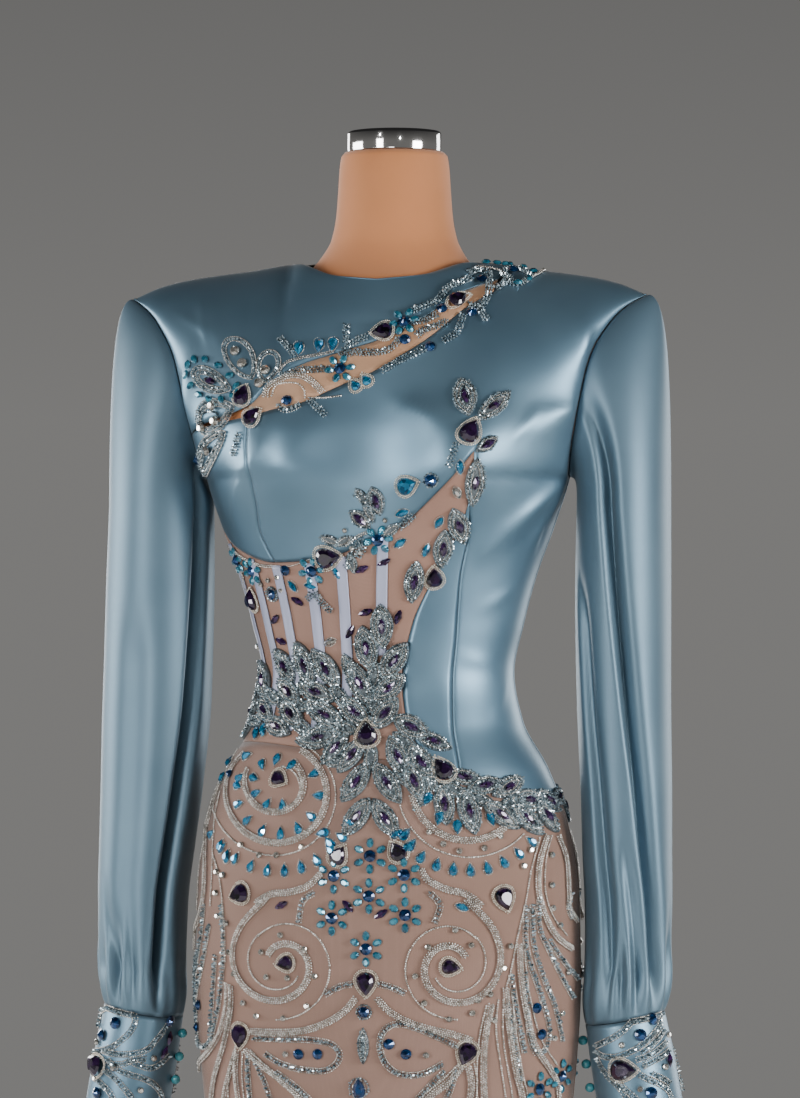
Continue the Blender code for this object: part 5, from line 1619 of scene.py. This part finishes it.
def layBodice():
    def sew(kind, points, lean=90.0, **more):
        setStones("bodice", kind, points, lean, **more)

    def rope(points, kind="rope", **more):
        layRope("bodice", points, kind, **more)

    for x, y, lean, length, width, rows in petals:
        petal("bodice", (x, y), lean, length, width, rows)
    teal = seen([(211, 381)])[0]
    for place, lean in zip(around(teal, 335, "petal", 0.036, 0.058, 13), np.linspace(65, 425, 14)):
        setStone("bodice", "bareOval", place, float(lean), 1.0, 0.0006)
    sew("pear", [(244, 396)], 62, scale=0.95, lift=0.0022)
    sew("pear", [(254, 417)], 38, scale=0.92, lift=0.0022)
    sew("plumMarquise", [(211, 381)], 158, lift=0.001)
    sew("rhinestone", [(236, 352), (243, 364), (266, 371), (214, 406), (204, 427), (217, 421), (209, 450),
                       (260, 384)], scale=1.5, lift=0.001)
    # smaller loops inside the two lower petals
    for x, y, lean, length, width in ((208, 420, 20, 0.030, 0.015), (201, 456, 32, 0.036, 0.012)):
        layBeads("bodice", "iceLine", around(seen([(x, y)])[0], lean, "petal", width, length, 30), True)
    sew("rivoli", [(191, 459), (287, 401), (405, 340), (442, 309), (482, 280), (472, 313), (430, 347), (513, 271),
                   (286, 570), (273, 594)], lift=0.0008)
    for line in twigs:
        rope(line, "iceBand", lift=overBones(*line[0]))
    rope([(266, 398), (268, 388), (280, 380), (291, 376), (303, 377), (313, 383), (322, 392)])
    rope([(272, 396), (276, 386), (286, 383), (298, 384), (304, 390), (305, 398)], "chain")
    rope([(279, 372), (287, 363), (303, 358), (320, 355), (333, 352)], "thinRope")
    rope([(309, 398), (325, 398), (341, 396)], "chain")
    layIceRope("bodice", [(279, 405), (284, 410), (292, 409), (299, 405)])
    sew("drop", [(299, 349), (319, 346), (333, 345)], 262, scale=1.15, lift=0.0006)
    for point in ((340, 369), (404, 322), (312, 571), (378, 540), (253, 571), (238, 560)):
        floret("bodice", point, 0.0098, start=70)
    sew("tealPear", [(355, 385), (366, 380)], 125, scale=0.62)
    sew("pear", [(382, 332), (458, 300)], [185, 25], scale=0.92, lift=0.0012)
    # the sprig at the neck
    sew("bareOval", [(486, 264), (497, 265), (511, 266), (523, 269), (533, 273), (518, 284), (505, 266),
                     (529, 280)], [10, 170, 95, 150, 30, 20, 60, 110], lift=0.0006)
    rope([(477, 268), (489, 269), (500, 272), (507, 279)], "thinRope")
    rope([(524, 282), (534, 277), (544, 271)], "thinRope")
    rope([(503, 274), (511, 283), (521, 284), (530, 277), (523, 271), (512, 269), (505, 271)], "iceBand")
    for x, y, lean, length, width in bodiceLeaves:
        leaf("bodice", (x, y), lean, length * 1.12, width * 1.12, lift=0.0004)
    sew("pear", [(470, 431)], 72, scale=1.1, lift=0.0016)
    sew("pear", [(434, 577)], 100, scale=0.9, lift=0.0010)
    sew("tealPear", [(408, 485)], 20, scale=1.1, lift=0.0010)
    sew("rivoli", [(431, 480)], scale=1.1, lift=0.0008)
    halo("bodice", (431, 480), 0.0066)
    sew("tealMarquise", [(460, 467), (439, 522), (426, 550), (402, 513), (400, 543), (293, 586), (337, 573),
                         (311, 586)], [95, 65, 72, 22, 35, 130, 120, 170])
    sew("clearMarquise", [(457, 492)], 115)
    sew("plumMarquise", [(362, 569), (384, 562), (298, 601)], [25, 30, 150])
    sew("pear", [(329, 557)], 8, scale=1.18, lift=0.0018)
    sew("pear", [(254, 599)], 75, scale=1.0, lift=0.0012)
    halo("bodice", (273, 594), 0.0066)
    rope([(230, 545), (236, 551), (247, 559), (262, 565), (276, 566)], "thinRope")
    rope([(240, 565), (244, 575), (246, 586), (252, 597)], "thinRope")
    rope([(276, 566), (290, 566), (303, 562), (316, 556)], "seedLine")
    rope([(346, 545), (358, 536), (370, 531)], "thinRope")
    # the small spray at the end of the bust edge
    for x, y, lean, length, width in ((376, 501, 106, 0.029, 0.0165), (360, 519, 140, 0.025, 0.0145)):
        leaf("bodice", (x, y), lean, length, width, lift=0.0004)
    for x, y, lean in ((362, 497, 125), (369, 513, 120), (391, 530, 35), (344, 541, 25), (352, 563, 100),
                       (330, 540, 160)):
        leaf("bodice", (x, y), lean, 0.021, 0.0100, gem=None)
    sew("rhinestone", [(352, 548), (361, 552), (278, 577), (282, 590), (269, 580), (262, 584), (366, 520),
                       (385, 520), (345, 530)], scale=0.8, lift=0.0006)
    print("bodice beads laid out")


# Skirt: scrolls of silver rope with drops, florets and stones between them

skirtRings = {"left": (278, 793), "inner": (277, 783), "right": (467, 784)}
skirtVolutes = {"left": (282, 964), "right": (452, 966)}
skirtPaths = {
    # what is laid along each line, with its points in the photograph's frame
    "rope": [
        # from the hip scrolls to the volutes, and below them to the two fans
        [(322, 873), (308, 886), (290, 892), (272, 894), (258, 902)],
        [(421, 869), (428, 880), (446, 889), (466, 894), (480, 905)],
        [(356, 998), (346, 1010), (330, 1021), (306, 1030), (280, 1032), (252, 1031)],
        [(377, 998), (388, 1010), (404, 1020), (426, 1028), (452, 1034), (470, 1040)],
        [(246, 1050), (262, 1064), (284, 1082), (306, 1102), (330, 1134), (352, 1180)],
        [(462, 1066), (448, 1082), (428, 1098), (408, 1122), (390, 1150), (378, 1180)],
        [(238, 1050), (237, 1075), (241, 1105), (250, 1140), (268, 1180)],
        [(468, 1066), (471, 1085), (467, 1112), (458, 1145), (444, 1182)],
        # down the left side
        [(216, 778), (210, 800), (208, 821), (207, 855), (206, 889), (202, 913), (195, 932), (187, 947)],
        [(228, 983), (228, 1004), (221, 1033), (207, 1055), (192, 1067)],
        [(232, 985), (232, 1009), (226, 1041), (216, 1077), (213, 1110), (218, 1150)],
        [(237, 1052), (232, 1069), (225, 1100), (226, 1140), (234, 1180)],
        # down the right side
        [(546, 836), (538, 865), (538, 894), (546, 920), (556, 937), (570, 948)],
        [(557, 836), (565, 860), (567, 889), (568, 908), (575, 920)],
        [(519, 944), (520, 975), (525, 1009), (534, 1045), (549, 1069), (556, 1084), (558, 1110)],
        [(505, 988), (508, 1021), (515, 1069), (522, 1100), (524, 1140), (516, 1182)],
        [(491, 1004), (484, 1045), (484, 1100), (492, 1150), (504, 1184)],
    ],
    "chain": [
        [(214, 855), (220, 877), (223, 903), (223, 932), (226, 961)],
        [(539, 838), (531, 869), (525, 903), (517, 937), (511, 968), (505, 990)],
        [(498, 1000), (496, 1033), (505, 1096), (508, 1140)],
        # beside the ropes of the two sides
        [(203, 812), (196, 836), (191, 862), (195, 884), (192, 909)],
        [(221, 790), (215, 822), (213, 868), (211, 905)],
        [(233, 1010), (222, 1051), (214, 1096), (212, 1150)], [(238, 1040), (230, 1075), (230, 1110), (240, 1160)],
        [(243, 1052), (243, 1080), (247, 1110), (258, 1150)], [(251, 1050), (268, 1068), (290, 1090), (312, 1120)],
        [(551, 836), (545, 862), (545, 893), (553, 917), (566, 935)],
        [(524, 944), (526, 975), (532, 1009), (541, 1040), (556, 1064)],
        [(503, 1000), (503, 1040), (511, 1090), (517, 1140)],
        [(512, 990), (514, 1021), (521, 1066), (528, 1100)], [(486, 1006), (478, 1045), (477, 1100), (484, 1150)],
        [(458, 1064), (442, 1080), (420, 1098), (401, 1120)], [(474, 1064), (477, 1085), (473, 1112), (465, 1145)],
    ],
    "ice": [
        [(314, 893), (303, 901), (299, 921)], [(430, 893), (440, 905), (435, 922)],
        [(352, 984), (339, 987), (326, 994)], [(379, 984), (391, 987), (404, 993)],
        [(255, 1038), (281, 1039), (311, 1040), (331, 1044), (340, 1054), (335, 1065), (322, 1071), (300, 1069),
         (280, 1063), (266, 1054)],
        [(456, 1046), (440, 1038), (416, 1028), (396, 1024), (383, 1032), (380, 1048), (386, 1064), (400, 1074),
         (422, 1074), (442, 1064)],
        [(248, 1056), (249, 1080), (252, 1108), (262, 1140)], [(255, 1060), (264, 1080), (276, 1112), (296, 1150)],
        [(276, 1072), (300, 1090), (322, 1114), (340, 1148)], [(456, 1070), (450, 1090), (440, 1112), (428, 1140)],
        [(444, 1072), (424, 1092), (402, 1118), (386, 1148)],
        # loops and lines down the two sides
        [(205, 905), (201, 943), (193, 975), (189, 1003)], [(222, 905), (224, 950), (220, 1000), (212, 1040)],
        [(200, 950), (193, 990), (188, 1030)], [(532, 905), (533, 940), (541, 972), (554, 1005), (562, 1040)],
        [(508, 1004), (513, 1040), (520, 1080)],
        [(210, 925), (204, 961), (197, 997), (194, 1028), (199, 1045), (209, 1043), (212, 1019), (214, 985),
         (216, 956)],
        [(526, 906), (525, 937), (529, 961), (537, 985), (546, 1014), (549, 1033), (544, 1050), (535, 1052),
         (529, 1033), (527, 1009), (525, 973)],
        [(539, 898), (539, 927), (549, 951), (563, 980), (572, 997)], [(549, 940), (563, 961), (577, 978)],
        [(511, 975), (515, 1004), (522, 1040), (524, 1052)], [(571, 894), (567, 906), (571, 918)],
    ],
}
skirtRows = [
    # drops in an arc: centre, radius in metres, first and last angle, how many
    ("inner", 0.0215, 50, 285, 7), ("left", 0.0380, 28, -35, 3), ("left", 0.0375, -60, -190, 6),
    ("left", 0.0720, -22, -148, 11), ("right", 0.0800, 215, 318, 10),
]
skirtStones = [
    # kind, scale, lift, look, leans and places
    ("pear", 0.82, 0.0008, None, [340, 190, 350], [(280, 779), (285, 963), (451, 967)]),
    ("pear", 0.90, 0.0008, None, [60, 120], [(339, 855), (397, 851)]),
    ("pear", 1.05, 0.0008, None, [200, 285, 270, 265, 250, 270],
     [(240, 894), (504, 899), (366, 984), (241, 1036), (466, 1054), (365, 1192)]),
    ("drop", 1.1, 0.0002, None, [190, 130, 50, 50, 80, 80, 240, 250, 265, 280, 60, 20, 110, 110, 30, 20],
     [(323, 833), (330, 843), (405, 834), (411, 845), (222, 846), (228, 856), (427, 799), (439, 818), (457, 827),
      (491, 819), (212, 781), (224, 764), (258, 733), (265, 730), (241, 778), (248, 756)]),
    ("drop", 1.5, 0.0004, "sapphire", 90, [(359, 1088)]),
    ("rivoli", 1.0, 0.0006, None, 0,
     [(364, 1012), (299, 1054), (318, 1054), (389, 1044), (406, 1054), (200, 1005), (198, 1027), (536, 1008),
      (541, 1034), (231, 774)]),
    ("tealMarquise", 1.0, 0.0004, None, [340, 80], [(462, 907), (231, 761)]),
    ("plumMarquise", 1.0, 0.0004, None, [25, 310, 30], [(282, 905), (348, 906), (381, 914)]),
    ("rhinestone", 1.0, 0.0, None, 0,
     [(242, 845), (260, 855), (277, 855), (302, 847), (224, 875), (281, 935), (262, 952), (305, 949), (267, 977),
      (288, 978), (315, 976), (307, 1006), (284, 1018), (257, 1016), (244, 1003), (235, 974), (230, 952),
      (227, 923), (286, 1054), (428, 947), (415, 976), (424, 1003), (449, 1019), (472, 1013), (490, 994),
      (503, 968), (510, 946), (471, 945), (455, 930), (426, 1055), (415, 808), (429, 832), (443, 844), (459, 851),
      (484, 848), (500, 836), (523, 866), (551, 855), (551, 885), (552, 908), (559, 925), (567, 972), (561, 1013),
      (553, 1038), (218, 872), (217, 893), (219, 916), (530, 850), (512, 1030), (478, 1000), (494, 1020)]),
]
skirtFlorets = [(370, 856), (334, 876), (404, 875), (369, 896), (332, 918), (405, 915), (366, 949), (539, 1089),
                (561, 1076)]


def laySkirt(on):
    group = {"gown": "skirt", "back": "skirtBack"}[on]
    left, inner, right = skirtRings["left"], skirtRings["inner"], skirtRings["right"]
    leftVolute, rightVolute = skirtVolutes["left"], skirtVolutes["right"]
    ropes = [
        scroll(left, 60, -228, 0.0455, 0.0475), scroll(inner, 40, -205, 0.0250, 0.0290),
        scroll(right, 192, 312, 0.0520, 0.0530),
        scroll(leftVolute, 102, 500, 0.0640, 0.0150, 0.55, 60),
        scroll(rightVolute, 78, -320, 0.0640, 0.0150, 0.55, 60),
    ]
    chains = [
        scroll(left, 62, -215, 0.0510, 0.0640), scroll(inner, 72, -22, 0.0160, 0.0230),
        scroll(right, 160, 318, 0.0640, 0.0700), scroll(leftVolute, 130, -95, 0.0340, 0.0520),
        scroll(leftVolute, 128, 322, 0.0350, 0.0190), scroll(rightVolute, 50, 275, 0.0340, 0.0500),
        scroll(rightVolute, 52, -142, 0.0350, 0.0190),
    ]
    for kind, curves in (("rope", ropes), ("chain", chains)):
        for line in curves:
            layBeads(group, kind, seen(line, on), on=on)
    for kind in ("rope", "chain"):
        for line in skirtPaths[kind]:
            layRope(group, line, kind, on)
    for line in skirtPaths["ice"]:
        layIceRope(group, line, on)
    for centre, radius, first, last, count in skirtRows:
        leans = [float(angle) + 180 for angle in np.linspace(first, last, count)]
        setStones(group, "drop", scroll(skirtRings[centre], first, last, radius, radius, steps=count), leans, on)
    for kind, scale, lift, look, leans, points in skirtStones:
        setStones(group, kind, points, leans, on, scale=scale, lift=lift, look=look)
    for point in skirtFlorets:
        floret(group, point, 0.0118, on)
    for point, radius in (((359, 1088), 0.0090), ((364, 1012), 0.0066)):
        halo(group, point, radius, on)
    leaf(group, (363, 1046), 270, 0.034, 0.0110, gem=None, on=on)
    print("skirt beads laid out", on)


# Cuffs: an arch of crystals, a pear stone, and strands that fan out from it

cuffBeads = {
    # strands with their points, then stones: kind, leans and places, all in the photograph's frame
    "R": {
        "strands": [
            [(100, 1025), (101, 1013), (109, 1007), (119, 1002), (129, 1005), (134, 1013), (135, 1022), (130, 1032),
             (122, 1040), (114, 1046), (104, 1050), (96, 1051)],
            [(104, 1051), (116, 1054), (130, 1054), (141, 1052), (149, 1048), (155, 1041), (160, 1035),
             (166, 1026)],
            [(130, 1061), (141, 1066), (151, 1068), (161, 1063), (168, 1056)],
            [(108, 1060), (119, 1070), (131, 1075), (142, 1078), (152, 1083), (159, 1091), (163, 1102)],
            [(106, 1071), (116, 1079), (123, 1087), (131, 1097), (135, 1106)],
            [(99, 1081), (105, 1087), (111, 1094), (115, 1104)],
            [(111, 1064), (123, 1064), (133, 1060), (145, 1059)],
        ],
        "stones": [
            ("rivoli", 0, [(116, 1023), (103, 1035), (98, 1093), (169, 1021)]),
            ("rhinestone", 0, [(153, 1058), (114, 1068), (140, 1090), (99, 1042), (97, 1079)]),
            ("plumMarquise", [60, 80], [(163, 1052), (168, 1038)]),
            ("pear", 150, [(98, 1064)]),
        ],
    },
    "L": {
        "strands": [
            [(596, 1046), (605, 1042), (616, 1036), (625, 1029), (633, 1020), (641, 1010), (648, 1003), (655, 1001),
             (660, 1007), (660, 1017), (658, 1027), (652, 1035), (645, 1042), (636, 1049), (625, 1054),
             (614, 1057), (603, 1056), (597, 1051)],
            [(641, 1053), (650, 1046), (658, 1038), (663, 1031)],
            [(636, 1060), (647, 1056), (657, 1050), (665, 1043)],
            [(643, 1066), (653, 1061), (662, 1056), (668, 1051)],
            [(640, 1075), (650, 1080), (659, 1084), (667, 1090), (671, 1098)],
            [(652, 1074), (661, 1078), (669, 1083)],
            [(598, 1058), (602, 1067), (609, 1077), (618, 1086), (625, 1095), (630, 1106)],
            [(610, 1073), (617, 1081), (626, 1090), (636, 1099)],
        ],
        "stones": [
            ("rivoli", 0, [(652, 1019), (640, 1035), (651, 1093)]),
            ("rhinestone", 0, [(622, 1045), (640, 1089), (664, 1067), (666, 1035)]),
            ("plumMarquise", 80, [(668, 1060)]),
            ("pear", 350, [(624, 1070)]),
        ],
    },
}
cuffTrim = {
    "rim": -0.111, "foot": -0.100, "rise": 0.082, "rivoliAt": -0.062, "smallAt": -0.085,
    "arcs": [(200, 262), (238, 300), (290, 345)],
    # scale and lift of the stones that differ from the others
    "scale": {"pear": 1.15, "rivoli": 1.15}, "lift": {"pear": 0.0015},
}


def makeButtons():
    # ball buttons down each cuff's inner side
    cage = bmesh.new()
    for side in ("R", "L"):
        for along in cuffSize["buttonsAt"]:
            at = cuffPoint(side, float(cuffSize["buttonTurn"]), along,
                           cuffSize["buttonRadius"] * cuffSize["buttonLift"])
            bmesh.ops.create_uvsphere(cage, u_segments=20, v_segments=12, radius=cuffSize["buttonRadius"],
                                      matrix=Matrix.Translation(Vector(at)))
    rigid(addObject("cuffButtons", finished(cage, "cuffButtons"), looks["turquoise"]), "turquoise",
          *["button_%s%d" % (side, i) for side in "LR" for i in (1, 2, 3, 4)])


def layCuffs():
    trim = cuffTrim
    for side, beads in cuffBeads.items():
        group = "cuff" + side
        for line in beads["strands"]:
            layIceRope(group, line, group)
        for kind, leans, points in beads["stones"]:
            setStones(group, kind, points, leans, group, scale=trim["scale"].get(kind, 1.0),
                      lift=trim["lift"].get(kind, 0.0004))
        # round the lower edge, and over the side that the photograph doesn't show
        way = -1 if side == "L" else 1
        layIce(group, np.stack([way * np.linspace(2, 358, 90), np.full(90, trim["rim"])], -1), group)
        for first, last in trim["arcs"]:
            share = np.linspace(0, 1, 24)
            height = trim["foot"] + trim["rise"] * np.sin(math.pi * (0.1 + 0.8 * share))
            layIce(group, np.stack([way * mix(first, last, share), height], -1), group)
            middle = way * (first + last) / 2
            setStone(group, "rivoli", (middle, trim["rivoliAt"]), 90, 1.1, on=group)
            setStone(group, "rhinestone", (middle, trim["smallAt"]), 90, on=group)
    print("cuff beads laid out")


layHip()
layBodice()
laySkirt("gown")
laySkirt("back")
layCuffs()
sewOn()
makeButtons()
print("beads sewn on")

for unused in list(templates.objects):
    bpy.data.objects.remove(unused, do_unlink=True)
bpy.data.collections.remove(templates)
